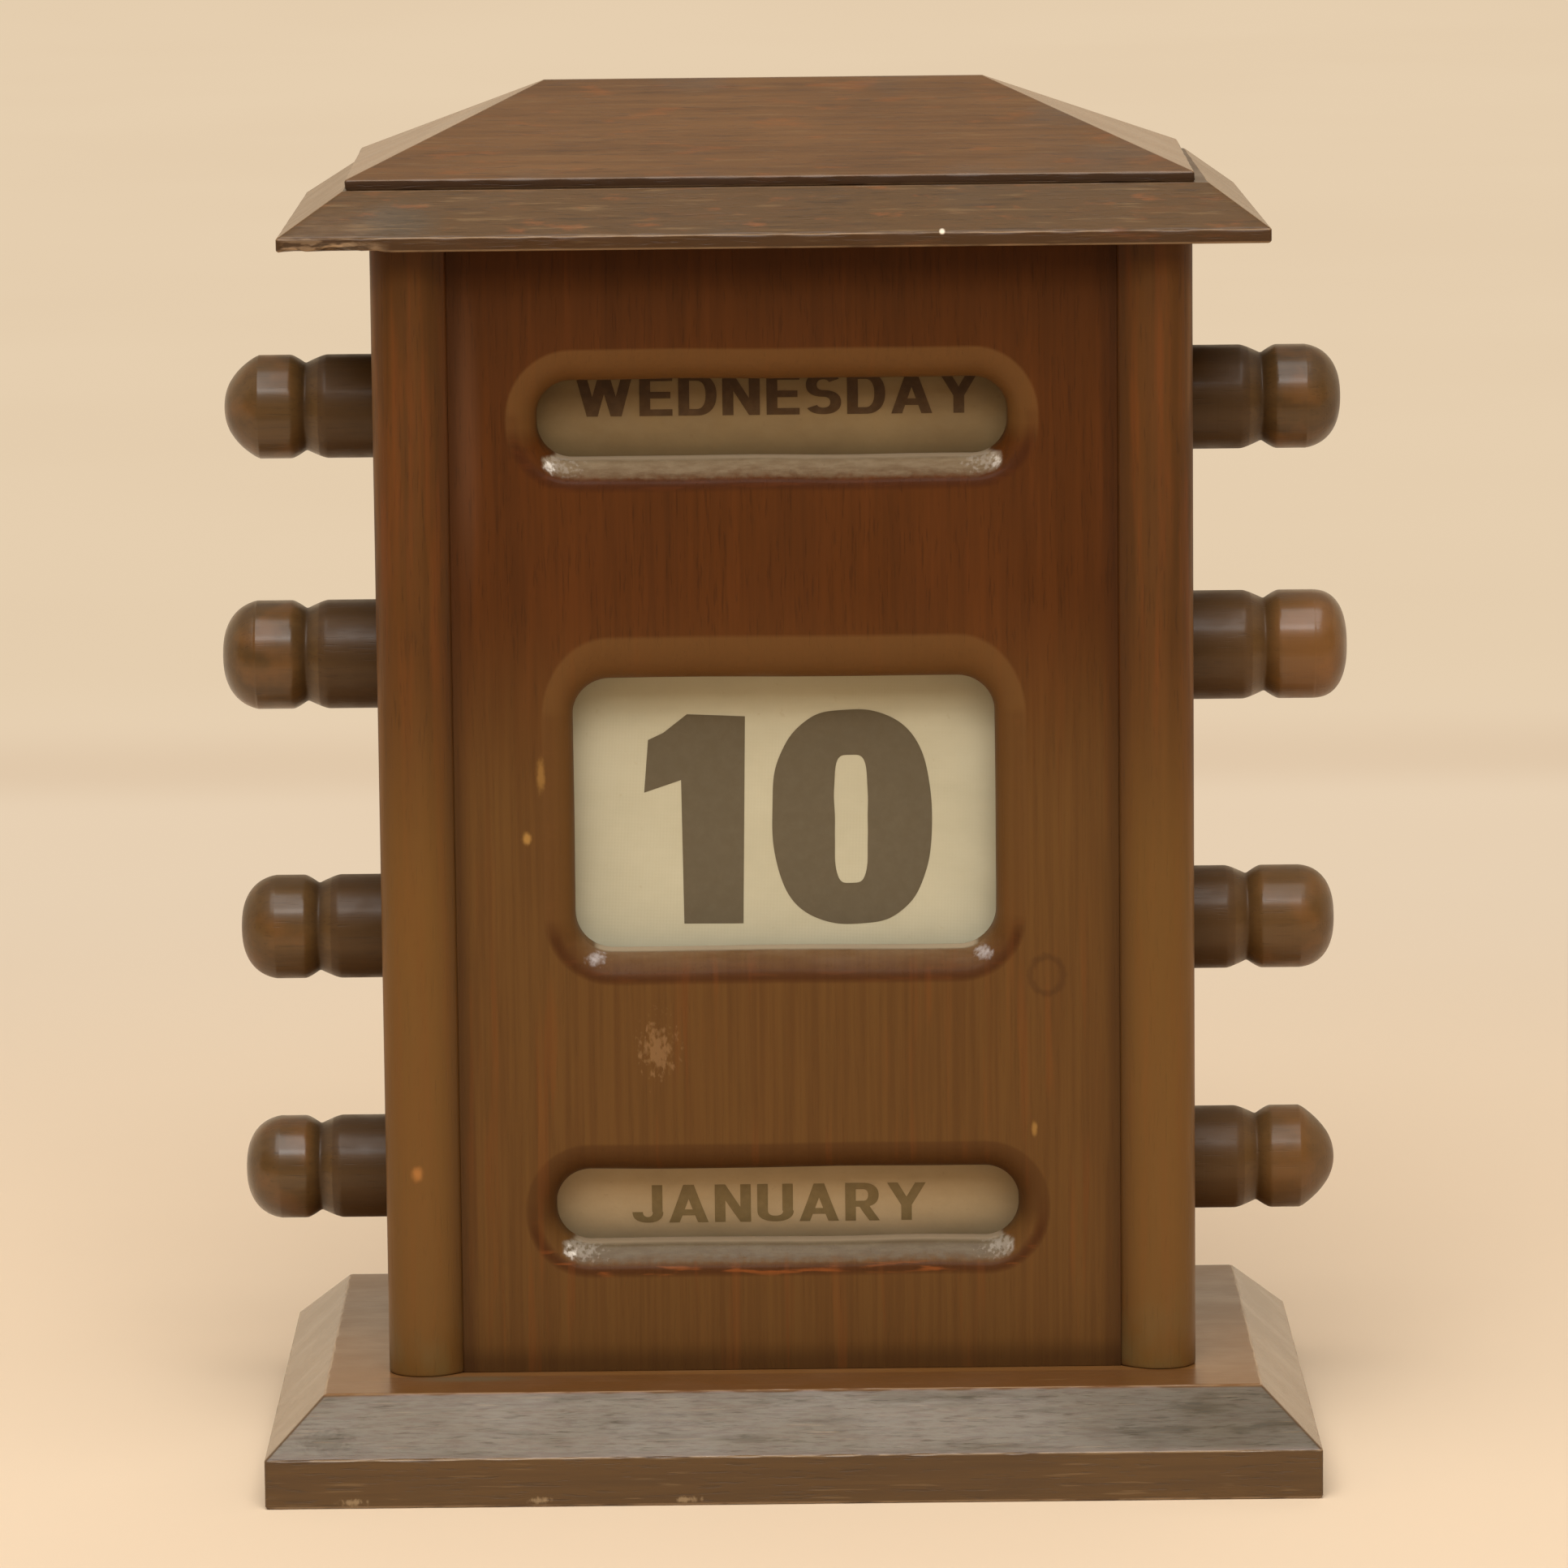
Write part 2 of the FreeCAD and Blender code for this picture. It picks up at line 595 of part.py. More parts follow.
def back_screw(side, height):
    """One round-head screw, point forwards: its profile is turned about its own axis."""
    body = doc.addObject("PartDesign::Body", "back_screw")
    sketch = new_sketch(body, "back_screw_profile", "XY_Plane")
    head_curve = "((back_screw_head_radius ^ 2 + back_screw_head_height ^ 2) / (2 * back_screw_head_height))"
    add_outline(sketch, [
        ("0", "-back_screw_length", None),
        ("-back_screw_radius", "-back_screw_length", None),
        ("-back_screw_radius", "0", None),
        ("-back_screw_head_radius", "0", head_curve),
        ("0", "back_screw_head_height", None),
    ])
    feature(body, "Revolution", "back_screw_turned", sketch, ReferenceAxis=(sketch, ["V_Axis"]))
    slot = new_sketch(
        body, "back_screw_slot", "YZ_Plane", across="back_screw_head_height", out="-back_screw_head_radius",
    )
    add_rectangle(slot, "2 * screw_slot_depth", "screw_slot_width")
    doc.recompute()
    pocket(body, "back_screw_slot_cut", slot, "2 * back_screw_head_radius", Reversed=True)
    place(body, x=f"{side} * {BACK_SCREW_X}", y=CASE_REAR, z=f"{CASE_FLOOR} + {height}")
    return body


def back_screws():
    """Four round-head screws that hold the back panel in the rebates."""
    heights = ("back_screw_end_margin", f"({CASE_HEIGHT} - back_screw_end_margin)")
    return group("back_screws", [back_screw(side, height) for side in (LEFT, RIGHT) for height in heights])


# Rollers

def tube(label, inner, outer, length, height):
    """A body about a rod's axis: a drum, core, label or wound roll."""
    body = doc.addObject("PartDesign::Body", label)
    ring = new_sketch(body, label + "_ring", "YZ_Plane")
    add_circle(ring, outer)
    add_circle(ring, inner)
    pad(body, label + "_length", ring, length, SideType="Symmetric")
    place(body, z=height)
    return body


def rod(label, height):
    """A round rod along X, which ends in the sockets of its two knobs."""
    body = doc.addObject("PartDesign::Body", label)
    section = new_sketch(body, label + "_section", "YZ_Plane")
    add_circle(section, "rod_radius")
    length = f"{CASE_WIDTH} + 2 * (knob_gap + knob_socket_depth)"
    pad(body, label + "_length", section, length, SideType="Symmetric")
    place(body, z=height)
    return body


def knob(label, side, radius, reach, height):
    """A turned knob along +X from its inner end, turned round for the left side: a collar, a neck, and a head
    with a domed end. The dome is a round shoulder that runs into a flatter round cap."""
    length = f"({reach} - knob_gap)"
    neck = f"({radius} - knob_neck_depth)"
    dome_start = f"({length} - knob_dome_length)"
    head_start = f"({dome_start} - knob_head_length)"
    neck_place = f"({head_start} - knob_head_slope)"
    collar_end = f"({neck_place} - knob_collar_slope)"
    cap_radius = (
        f"((knob_dome_length ^ 2 + {radius} ^ 2 - 2 * {radius} * knob_dome_shoulder)"
        f" / (2 * (knob_dome_length - knob_dome_shoulder)))"
    )
    shoulder_share = f"(knob_dome_shoulder / ({cap_radius} - knob_dome_shoulder))"
    shoulder_x = f"({dome_start} + ({cap_radius} - knob_dome_length) * {shoulder_share})"
    shoulder_y = f"(({radius} - knob_dome_shoulder) * (1 + {shoulder_share}))"
    collar_curve = "((knob_collar_slope ^ 2 + knob_neck_depth ^ 2) / (2 * knob_neck_depth))"
    head_curve = "((knob_head_slope ^ 2 + knob_neck_depth ^ 2) / (2 * knob_neck_depth))"
    body = doc.addObject("PartDesign::Body", label)
    sketch = new_sketch(body, label + "_profile", "XY_Plane")
    add_outline(sketch, [
        ("0", "rod_radius", None),
        ("0", radius, None),
        (collar_end, radius, collar_curve),
        (neck_place, neck, head_curve),
        (head_start, radius, None),
        (dome_start, radius, "knob_dome_shoulder"),
        (shoulder_x, shoulder_y, cap_radius),
        (length, "0", None),
        ("knob_socket_depth", "0", None),
        ("knob_socket_depth", "rod_radius", None),
    ])
    feature(body, "Revolution", label + "_turned", sketch, ReferenceAxis=(sketch, ["H_Axis"]))
    if side == LEFT:
        body.Placement.Rotation = FreeCAD.Rotation(FreeCAD.Vector(0, 0, 1), 180)
    place(body, x=f"{side} * ({CASE_WIDTH} / 2 + knob_gap)", z=height)
    return body


def drum_roller(name):
    """A printed drum with its label, on its rod, with a knob at each end."""
    height = RODS[name]
    return [
        rod(name + "_rod", height),
        tube(name + "_drum", "rod_radius", "drum_radius", "drum_length", height),
        tube(name + "_label", "drum_radius", LABEL_RADIUS, LABEL_WIDTH, height),
    ]


def strip_roller(name, roll_radius):
    """A core with the dates that are wound on it, on its rod."""
    height = RODS[name]
    return [
        rod(name + "_rod", height),
        tube(name + "_core", "rod_radius", "core_radius", "drum_length", height),
        tube(name + "_roll", "core_radius", roll_radius, STRIP_WIDTH, height),
    ]


def date_web():
    """The flat stretch of the date strip. It lies a small gap off the line that touches both rolls in front,
    and leans back as the upper roll is the thinner one."""
    lean = f"asin(({LOWER_ROLL} - {UPPER_ROLL}) / {DATE_ROD_SPACING})"
    box = doc.addObject("Part::Box", "date_web")
    bind(
        box, Length=STRIP_WIDTH, Width="strip_thickness",
        Height=f"sqrt({DATE_ROD_SPACING} ^ 2 - ({LOWER_ROLL} - {UPPER_ROLL}) ^ 2)",
    )
    box.Placement.Rotation = FreeCAD.Rotation(FreeCAD.Vector(-1, 0, 0), 1)
    box.setExpression("Placement.Rotation.Angle", formula(lean))
    reach = f"({LOWER_ROLL} + web_gap + strip_thickness)"
    foot_y = f"-{reach} * cos({lean})"
    foot_z = f"{DATE_LOWER_ROD} + {reach} * sin({lean})"
    place(box, x=f"-{STRIP_WIDTH} / 2", y=foot_y, z=foot_z)
    return box


def knobs(name):
    """The two knobs of one roller."""
    radius = f"{name}_knob_radius"
    reach = f"{name}_knob_reach"
    return [
        knob(f"left_{name}_knob", LEFT, radius, reach, RODS[name]),
        knob(f"right_{name}_knob", RIGHT, radius, reach, RODS[name]),
    ]


def all_parts():
    """Every sub-part of the calendar."""
    parts = [
        base_plinth(),
        side_board("left_side_board", LEFT),
        side_board("right_side_board", RIGHT),
        front_panel(),
        back_panel(),
        roof_board(),
        roof_cap(),
        base_screws(),
        roof_pins(),
        back_screws(),
    ]
    parts += drum_roller("day") + strip_roller("date_upper", UPPER_ROLL)
    parts += strip_roller("date_lower", LOWER_ROLL) + drum_roller("month")
    parts.append(date_web())
    for name in RODS:
        parts += knobs(name)
    return parts


parts = all_parts()
doc.recompute()

for item in doc.Objects:
    if "Invalid" in item.State or "Error" in item.State:
        raise ValueError(f"{item.Label} failed: {item.State}")
for item in parts:
    if item.Shape.isNull() or not item.Shape.isValid():
        raise ValueError(f"{item.Label} has no valid shape")

os.makedirs("parts", exist_ok=True)
for item in parts:
    item.Shape.exportStep(f"parts/{item.Label}.step")
    print(item.Label, len(item.Shape.Solids), round(item.Shape.Volume, 3))
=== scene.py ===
import math

import bmesh
import bpy
import numpy as np
from mathutils import Matrix, Vector


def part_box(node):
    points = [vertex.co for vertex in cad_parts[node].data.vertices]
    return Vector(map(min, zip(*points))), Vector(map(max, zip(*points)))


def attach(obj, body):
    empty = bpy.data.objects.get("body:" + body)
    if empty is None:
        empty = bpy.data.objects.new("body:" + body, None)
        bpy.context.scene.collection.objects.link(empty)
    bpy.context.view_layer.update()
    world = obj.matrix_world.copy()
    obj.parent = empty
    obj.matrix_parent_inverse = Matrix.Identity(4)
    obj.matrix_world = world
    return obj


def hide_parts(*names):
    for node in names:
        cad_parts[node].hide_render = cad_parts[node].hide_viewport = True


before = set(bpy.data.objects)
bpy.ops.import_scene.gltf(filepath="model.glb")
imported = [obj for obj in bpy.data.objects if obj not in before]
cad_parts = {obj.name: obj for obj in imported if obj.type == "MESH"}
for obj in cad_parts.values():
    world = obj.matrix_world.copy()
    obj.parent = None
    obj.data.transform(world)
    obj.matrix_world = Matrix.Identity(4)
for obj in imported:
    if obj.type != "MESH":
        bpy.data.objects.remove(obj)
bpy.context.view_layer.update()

# A wooden perpetual desk calendar: a hipped roof on a case with three windows, on a bevelled plinth.
# Shapes are worked out in millimetres in the frame of the solids and made in metres.
# +Z is up, the windows face -Y, and the origin is the middle of the plinth's underside.

MM = 0.001


def box_of(node):
    """Lowest and highest corner of a solid in millimetres."""
    low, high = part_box(node)
    return np.array(low) / MM, np.array(high) / MM


# Sizes that the solids' boxes don't give

plinth_band = 6.0
plinth_inset = 7.0
plinth_arris = 0.4
roof_band = 1.7
roof_side_inset = 7.25
roof_front_inset = 6.5
roof_arris = 0.3
cap_band = 1.2
cap_arris = 0.25
ridge_length = 53.3
ridge_width = 0.8
post_round = 4.0
post_arris = 0.4
panel_setback = 2.2
rebate_width = 4.5
rebate_depth = 4.0
back_arris = 0.4
panel_arris = 0.12
window_round = 3.8
rod_radius = 3.0
knob_socket = 7.5
knob_face_round = 0.3
neck_depth = 1.05
collar_slope = 2.6
head_slope = 1.8
head_length = 4.5
dome_length = 4.2
label_thickness = 0.3
strip_lower = 14.457
strip_upper = 13.375
strip_thickness = 0.2
strip_turn = math.radians(70)
print_gap = 0.03

# The printed capitals, for a height of 1
stem_width = 0.215
bar_width = 0.16
letter_gap = 0.115

# Where the flat stretch of the strip leaves its two rolls, as height and depth
web_foot = (64.3, -14.45)
web_head = (98.2, -13.37)

rod_heights = {"day": 128.416, "date_upper": 97.799, "date_lower": 63.866, "month": 33.65}

# Each window: middle across, middle height, width, height, corner radius
windows = {
    "month": (-0.35, 32.4, 56.3, 9.1, 4.2),
    "date": (-0.25, 80.65, 51.0, 33.3, 4.5),
    "day": (-1.3, 128.746, 56.5, 9.5, 4.2),
}

# Heights at which the panel is divided between its windows
panel_cuts = (49.0, 111.0)

# Points on a ring of the panel: along its level sides, in a corner, and along a tall or a low window
level_points = 60
corner_points = 12
tall_points = 34
low_points = 14

# How flat each window's lower edge was filed, from 0 for round to 1 for a chamfer
sill_flatness = {"month": 0.97, "date": 0.15, "day": 1.0}

# How far each window's upper edge is worn upwards, as a share of its round
crown_wear = {"month": 0.0, "date": 0.5, "day": 0.1}


# Surfaces from numbers

def joined(*parts):
    """Numbers and arrays that broadcast together, as the coordinates of points."""
    return np.stack(np.broadcast_arrays(*parts), -1)


def ways_at(angles):
    """Directions in a plane at angles in radians."""
    return joined(np.cos(angles), np.sin(angles))


def full_turn(count):
    """Angles all the way round, evenly spaced."""
    return np.linspace(0, 2 * math.pi, count, endpoint=False)


def ripple(points, size, seed):
    """A smooth value between about -1 and 1 for each point: the mean of seven sines, each along its own
    direction, with waves of about the given size in millimetres."""
    chance = np.random.default_rng(seed)
    directions = chance.normal(size=(7, 3))
    directions /= np.linalg.norm(directions, axis=1)[:, None]
    waves = 2 * math.pi / (size * chance.uniform(0.6, 1.7, 7))
    shifts = chance.uniform(0, 2 * math.pi, 7)
    return np.sin(points @ (directions * waves[:, None]).T + shifts).sum(-1) / 3.2


def softened(corners, radius, steps=6):
    """A line through the corners, each inner one rounded. The arc starts and ends at radius * tan(half the
    turn) from the corner, and a spare point lies one radius further out on each run to keep the faces
    beside it flat. Gives the points, and for each one how near it is to the middle of an arc."""
    corners = np.array(corners, float)
    points, arris = [corners[0]], [0.0]
    for before, corner, after in zip(corners[:-2], corners[1:-1], corners[2:]):
        back = (before - corner) / np.linalg.norm(before - corner)
        ahead = (after - corner) / np.linalg.norm(after - corner)
        half_turn = (math.pi - math.acos(np.clip(back @ ahead, -1, 1))) / 2
        middle = corner + (back + ahead) / np.linalg.norm(back + ahead) * radius / math.cos(half_turn)
        angles = np.linspace(-half_turn, half_turn, steps + 1)
        inward = (corner - middle) / np.linalg.norm(corner - middle)
        side = np.array([-inward[1], inward[0]])
        if side @ ahead < 0:
            side = -side
        arc = middle + radius * (np.cos(angles)[:, None] * inward + np.sin(angles)[:, None] * side)
        reach = radius * math.tan(half_turn) + radius
        points += [corner + back * reach, *arc, corner + ahead * reach]
        arris += [0.0, *np.cos(angles / half_turn * math.pi / 2), 0.0]
    points.append(corners[-1])
    arris.append(0.0)
    return np.array(points), np.array(arris)


def rim(per_x, per_y, per_corner):
    """The way round a rounded rectangle, anticlockwise from the left end of its lower side, for any size:
    each point is (half size - corner) * sign + corner * direction. Gives the signs and the directions."""
    sides = [
        ((-1, -1), (1, -1), -90, per_x), ((1, -1), (1, 1), 0, per_y),
        ((1, 1), (-1, 1), 90, per_x), ((-1, 1), (-1, -1), 180, per_y),
    ]
    signs, directions = [], []
    for start, end, angle, count in sides:
        share = np.linspace(0, 1, count)[:, None]
        signs.append(np.array(start) * (1 - share) + np.array(end) * share)
        directions.append(ways_at(np.full(count, math.radians(angle))))
        signs.append(np.repeat(np.array([end], float), per_corner, 0))
        directions.append(ways_at(np.radians(angle + np.linspace(0, 90, per_corner + 2)[1:-1])))
    return np.concatenate(signs), np.concatenate(directions)


def about_rod(x, radius, angle, roller):
    """Points round a rod: y = -radius * cos(angle) and z = rod + radius * sin(angle)."""
    return joined(x, -radius * np.cos(angle), rod_heights[roller] + radius * np.sin(angle))


def grid_faces(rows, columns, start, wrap):
    """The four corners of each square of neighbours in a grid of points, closed across its columns or
    not."""
    row, column = np.meshgrid(
        np.arange(rows - 1), np.arange(columns if wrap else columns - 1), indexing="ij",
    )
    beside = (column + 1) % columns
    corners = [row * columns + column, row * columns + beside,
               (row + 1) * columns + beside, (row + 1) * columns + column]
    return np.stack(corners, -1).reshape(-1, 4) + start


def grids_to_mesh(name, grids, closed=True):
    """One mesh from several grids of points in millimetres. Each grid is (points, wrap, values), with
    values a name and an array for each number that its points carry. Points that meet become one, and the
    faces of a closed skin turn out."""
    points, faces, carried = [], [], {}
    start = 0
    for grid, wrap, values in grids:
        rows, columns = grid.shape[:2]
        faces.append(grid_faces(rows, columns, start, wrap))
        points.append(grid.reshape(-1, 3))
        for key, value in values.items():
            carried.setdefault(key, np.zeros(0))
            carried[key] = np.concatenate([carried[key], np.zeros(start - len(carried[key])),
                                           np.broadcast_to(value, (rows, columns)).ravel()])
        start += rows * columns
    mesh = bpy.data.meshes.new(name)
    mesh.from_pydata(np.concatenate(points) * MM, [], np.concatenate(faces))
    for key, value in carried.items():
        layer = mesh.attributes.new(key, "FLOAT", "POINT")
        whole = np.concatenate([value, np.zeros(start - len(value))])
        layer.data.foreach_set("value", whole.astype(np.float32))
    work = bmesh.new()
    work.from_mesh(mesh)
    bmesh.ops.remove_doubles(work, verts=work.verts, dist=2e-6)
    if closed:
        bmesh.ops.recalc_face_normals(work, faces=work.faces)
    work.to_mesh(mesh)
    work.free()
    mesh.shade_smooth()
    return mesh


def new_object(name, data):
    """An object in the scene with the given mesh or lamp."""
    made = bpy.data.objects.new(name, data)
    bpy.context.scene.collection.objects.link(made)
    return made


def piece(mesh, finish, body, *nodes, slot=None):
    """An object named as its mesh, with its finish, that rides on a body and stands for solids. Its slot
    is named as its finish; the slot argument is not used."""
    item = new_object(mesh.name, mesh)
    mesh.materials.append(finishes[finish])
    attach(item, body)
    if nodes:
        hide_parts(*nodes)


# Finishes

finishes = {}


def colour(red, green, blue):
    """A colour as it looks, in steps of 255, as the numbers that a shader takes."""
    seen = np.array([red, green, blue]) / 255
    plain = np.where(seen <= 0.04045, seen / 12.92, ((seen + 0.055) / 1.055) ** 2.4)
    return (*plain.tolist(), 1.0)


class Value:
    """A number from a node of a finish. A sum, difference or product of it is the value of a new node."""

    def __init__(self, finish, socket):
        self.finish = finish
        self.socket = socket

    def __add__(self, other):
        return self.finish.math("ADD", self, other)

    def __sub__(self, other):
        return self.finish.math("SUBTRACT", self, other)

    def __rsub__(self, other):
        return self.finish.math("SUBTRACT", other, self)

    def __mul__(self, other):
        return self.finish.math("MULTIPLY", self, other)

    def __abs__(self):
        return self.finish.math("ABSOLUTE", self)


class Finish:
    """The nodes of one finish, with a short call for each kind. A number, a colour, a socket or a Value can
    go into each, and shade is the colour so far."""

    def __init__(self, name):
        self.name = name
        self.material = bpy.data.materials.new(name)
        self.material.use_nodes = True
        self.tree = self.material.node_tree
        self.shader = self.tree.nodes["Principled BSDF"]
        self.object_place = self.tree.nodes.new("ShaderNodeTexCoord").outputs["Object"]
        self.shade = None

    def node(self, kind, values, **settings):
        """A node of a kind, with its settings and what goes into it."""
        made = self.tree.nodes.new("ShaderNode" + kind)
        for key, value in settings.items():
            setattr(made, key, value)
        for key, value in values.items():
            self.give(made.inputs[key], value)
        return made

    def value(self, kind, values, output, **settings):
        """What comes out of a new node."""
        return Value(self, self.node(kind, values, **settings).outputs[output])

    def give(self, socket, value):
        if isinstance(value, Value):
            value = value.socket
        if isinstance(value, bpy.types.NodeSocket):
            self.tree.links.new(value, socket)
        else:
            socket.default_value = value

    def spread(self, sizes, shift=(0, 0, 0)):
        """Object coordinates counted in steps of the given sizes, in millimetres."""
        scale = [1 / (size * MM) for size in sizes]
        values = {"Vector": self.object_place, "Scale": scale, "Location": shift}
        return self.value("Mapping", values, "Vector")

    def noise(self, place, detail=2.0, rough=0.5, bend=0.0):
        values = {"Vector": place, "Scale": 1.0, "Detail": detail, "Roughness": rough, "Distortion": bend}
        return self.value("TexNoise", values, "Fac")

    def fade(self, value, low, high, least=0.0, most=1.0):
        """Goes smoothly from least, where the value is low, to most, where it is high."""
        values = {"Value": value, "From Min": low, "From Max": high, "To Min": least, "To Max": most}
        return self.value("MapRange", values, "Result", interpolation_type="SMOOTHSTEP")

    def math(self, operation, first, second=0.0):
        return self.value("Math", {0: first, 1: second}, 0, operation=operation)

    def mix(self, amount, first, second):
        """From the first colour at 0 to the second at 1."""
        made = self.node("Mix", {}, data_type="RGBA", clamp_factor=True)
        self.give(made.inputs[0], amount)
        for index, tone in ((6, first), (7, second)):
            self.give(made.inputs[index], colour(*tone) if isinstance(tone, tuple) else tone)
        return made.outputs[2]

    def stain(self, tone, amount, strength=None):
        """Lays a colour over the shade, as strongly as the amount times the strength."""
        if strength is not None:
            amount *= strength
        self.shade = self.mix(amount, self.shade, tone)

    def blotch(self, sizes, low, high, least=0.0, most=1.0, shift=(0, 0, 0), detail=3.0, rough=0.5):
        """Blotches of about the given sizes in millimetres: noise that goes from least to most between two
        of its levels."""
        return self.fade(self.noise(self.spread(sizes, shift), detail, rough), low, high, least, most)

    def along(self, axis):
        """Distance from the origin along x, y or z, in millimetres."""
        return self.value("SeparateXYZ", {"Vector": self.object_place}, "xyz".index(axis)) * (1 / MM)

    def carried(self, name):
        """A number that the mesh's points carry."""
        return self.value("Attribute", {}, "Fac", attribute_name=name)

    def patch(self, middle, reach, soft=0.5, ragged=0.0):
        """1 in an egg-shaped patch about a point and 0 outside, with a soft and maybe ragged edge. Sizes
        are in millimetres."""
        inside = self.spread(reach, [-place / size for place, size in zip(middle, reach)])
        far = self.value("VectorMath", {0: inside}, "Value", operation="LENGTH")
        if ragged:
            speckle = self.noise(self.spread((0.5, 0.5, 0.9)), detail=3.0)
            far += (speckle - 0.5) * ragged
        return self.fade(far, 1.0, 1.0 - soft)

    def mark(self, tone, strength, middle, reach, soft=0.5, ragged=0.0):
        """Lays a colour over a patch of the shade."""
        self.stain(tone, self.patch(middle, reach, soft, ragged), strength)

    def done(self, rough, height=None, depth=0.1, coat=0.0, coat_rough=0.2, metal=0.0, gloss=0.5):
        """Joins shade, roughness and height to the shader, and keeps the finish under its name. Depth is in
        millimetres for a height of 1."""
        self.give(self.shader.inputs["Base Color"], self.shade)
        self.give(self.shader.inputs["Roughness"], rough)
        self.shader.inputs["Metallic"].default_value = metal
        self.shader.inputs["Specular IOR Level"].default_value = gloss
        self.give(self.shader.inputs["Coat Weight"], coat)
        self.shader.inputs["Coat Roughness"].default_value = coat_rough
        if height is not None:
            bump = self.node("Bump", {"Height": height, "Strength": 1.0, "Distance": depth * MM})
            self.give(self.shader.inputs["Normal"], bump.outputs["Normal"])
        finishes[self.name] = self.material
        return self.material


def grained(finish, axis, light, dark, pore, streak=1.2, shift=(0, 0, 0)):
    """Stained wood, drawn out along its axis: fine streaks over broad ones, fibres, short dark pores and
    uneven stain. Gives its height."""
    def drawn(across, run):
        sizes = [across] * 3
        sizes["xyz".index(axis)] = run
        return finish.spread(sizes, shift)

    streaks = finish.fade(finish.noise(drawn(streak, streak * 34), 3.0, 0.6, 0.3), 0.3, 0.7)
    broad = finish.fade(finish.noise(drawn(streak * 6, streak * 75), 2.0, 0.5, 0.6), 0.3, 0.7)
    fibres = finish.noise(drawn(0.42, 15.0), 3.0, 0.6)
    pores = finish.fade(finish.noise(drawn(0.3, 4.2), 2.0, 0.6), 0.57, 0.7)
    stain = finish.blotch((19, 19, 30), 0.3, 0.7, shift=(3, 1, 7), rough=0.55)
    share = streaks * 0.36
    for layer, weight in ((broad, 0.22), (fibres, 0.22), (stain, 0.22)):
        share += layer * weight
    finish.shade = finish.mix(share, dark, light)
    finish.stain(pore, pores, 0.32)
    return fibres * 0.6 + pores * -0.7


def panel_wood():
    """Front panel: fine upright grain, red-brown above and more yellow below, with painted shade under the
    roof, along its foot and beside both posts, painted light on the upper round edges of the windows, rubbed
    sills under a painted reflection, a painted grey sheen beside the left post and below the date window,
    painted glints at the ends of the date window's sill, and a few old scratches and stains."""
    finish = Finish("panel_wood")
    height = grained(finish, "z", (88, 47, 13), (66, 35, 9), (45, 24, 7), 0.9)
    up = finish.along("z")
    yellow = finish.mix(finish.blotch((0.6, 9, 26), 0.3, 0.7, shift=(5, 0, 0)), (90, 61, 29), (99, 69, 33))
    finish.stain(yellow, finish.fade(up, 110, 78, 0, 0.85))
    # Painted shade under the overhang of the roof.
    finish.stain((50, 28, 12), finish.fade(up, 128, 148, 0, 0.3))
    # Painted shade along the foot of the panel, above the plinth.
    finish.stain((52, 31, 14), finish.fade(up, 16.5, 13.5, 0, 0.5))
    # Painted light on the round edges of each window above its sill, dimmer round the month window.
    mouth_light = finish.mix(finish.fade(up, 56, 66), (76, 47, 20), (104, 72, 36))
    finish.stain(mouth_light, finish.carried("mouth_light"), 0.7)
    flecks = finish.blotch((6, 1.2, 0.9), 0.54, 0.68, shift=(2, 0, 6))
    flecks *= finish.fade(up, 28, 26.5, 0.1, 0.8)
    lip = finish.mix(flecks, (62, 29, 6), (134, 70, 28))
    finish.stain(lip, finish.carried("lip"), 0.75)
    red = finish.blotch((1.5, 9, 30), 0.58, 0.72, shift=(8, 0, 2), detail=2.0)
    finish.stain((122, 66, 26), red, finish.fade(up, 68, 58, 0.08, 0.2))
    # Painted shade in the groove beside both posts.
    seam_shade = finish.fade(abs(finish.along("x")), 37.2, 40.0, 0, 0.55)
    finish.stain((50, 28, 12), seam_shade)
    # A painted grey sheen on the panel beside the left post.
    finish.mark((108, 84, 66), 0.16, (-37.8, -22.7, 127), (2.2, 3, 24), 0.9)
    # Painted sheen on the round lower edge of the date window.
    sheen = finish.noise(finish.spread((6, 6, 1.6), (1, 0, 2)), 3.0, 0.6)
    sheen = finish.fade(sheen, 0.3, 0.7, 0.16, 0.5)
    finish.stain((134, 112, 88), sheen, finish.carried("sheen"))
    # Painted glints at both ends of the date window's sill.
    for x, z in ((-23.3, 63.3), (23.8, 63.6)):
        finish.mark((196, 192, 192), 0.55, (x, -20.8, z), (1.5, 3, 1.0), 0.9, 1.4)
    finish.mark((166, 130, 90), 0.3, (-15.9, -22.7, 52.4), (2.2, 3, 4.0), 0.8, 3.0)
    for place, size, strength in (
        ((-31.4, -22.7, 78.4), (0.8, 2, 1.0), 0.7),
        ((-29.6, -22.7, 86.0), (0.7, 2, 2.8), 0.4),
        ((29.6, -22.7, 42.0), (0.5, 2, 1.2), 0.5),
    ):
        finish.mark((170, 128, 66), strength, place, size, 0.8, 0.8)
    ring_place = (31.2, -22.7, 61.0)
    ring = finish.patch(ring_place, (2.6, 3, 2.9), 0.2, 0.3)
    ring *= 1 - finish.patch(ring_place, (1.9, 3, 2.2), 0.3, 0.3)
    finish.stain((60, 36, 20), ring, 0.35)
    where = sill_wear_and_reflection(finish)
    rough = finish.blotch((9, 9, 14), 0.3, 0.7, 0.5, 0.66)
    varnish = where * where * 0.25 + 0.04
    return finish.done(rough, height, 0.03, coat=varnish, coat_rough=0.24, gloss=0.12)


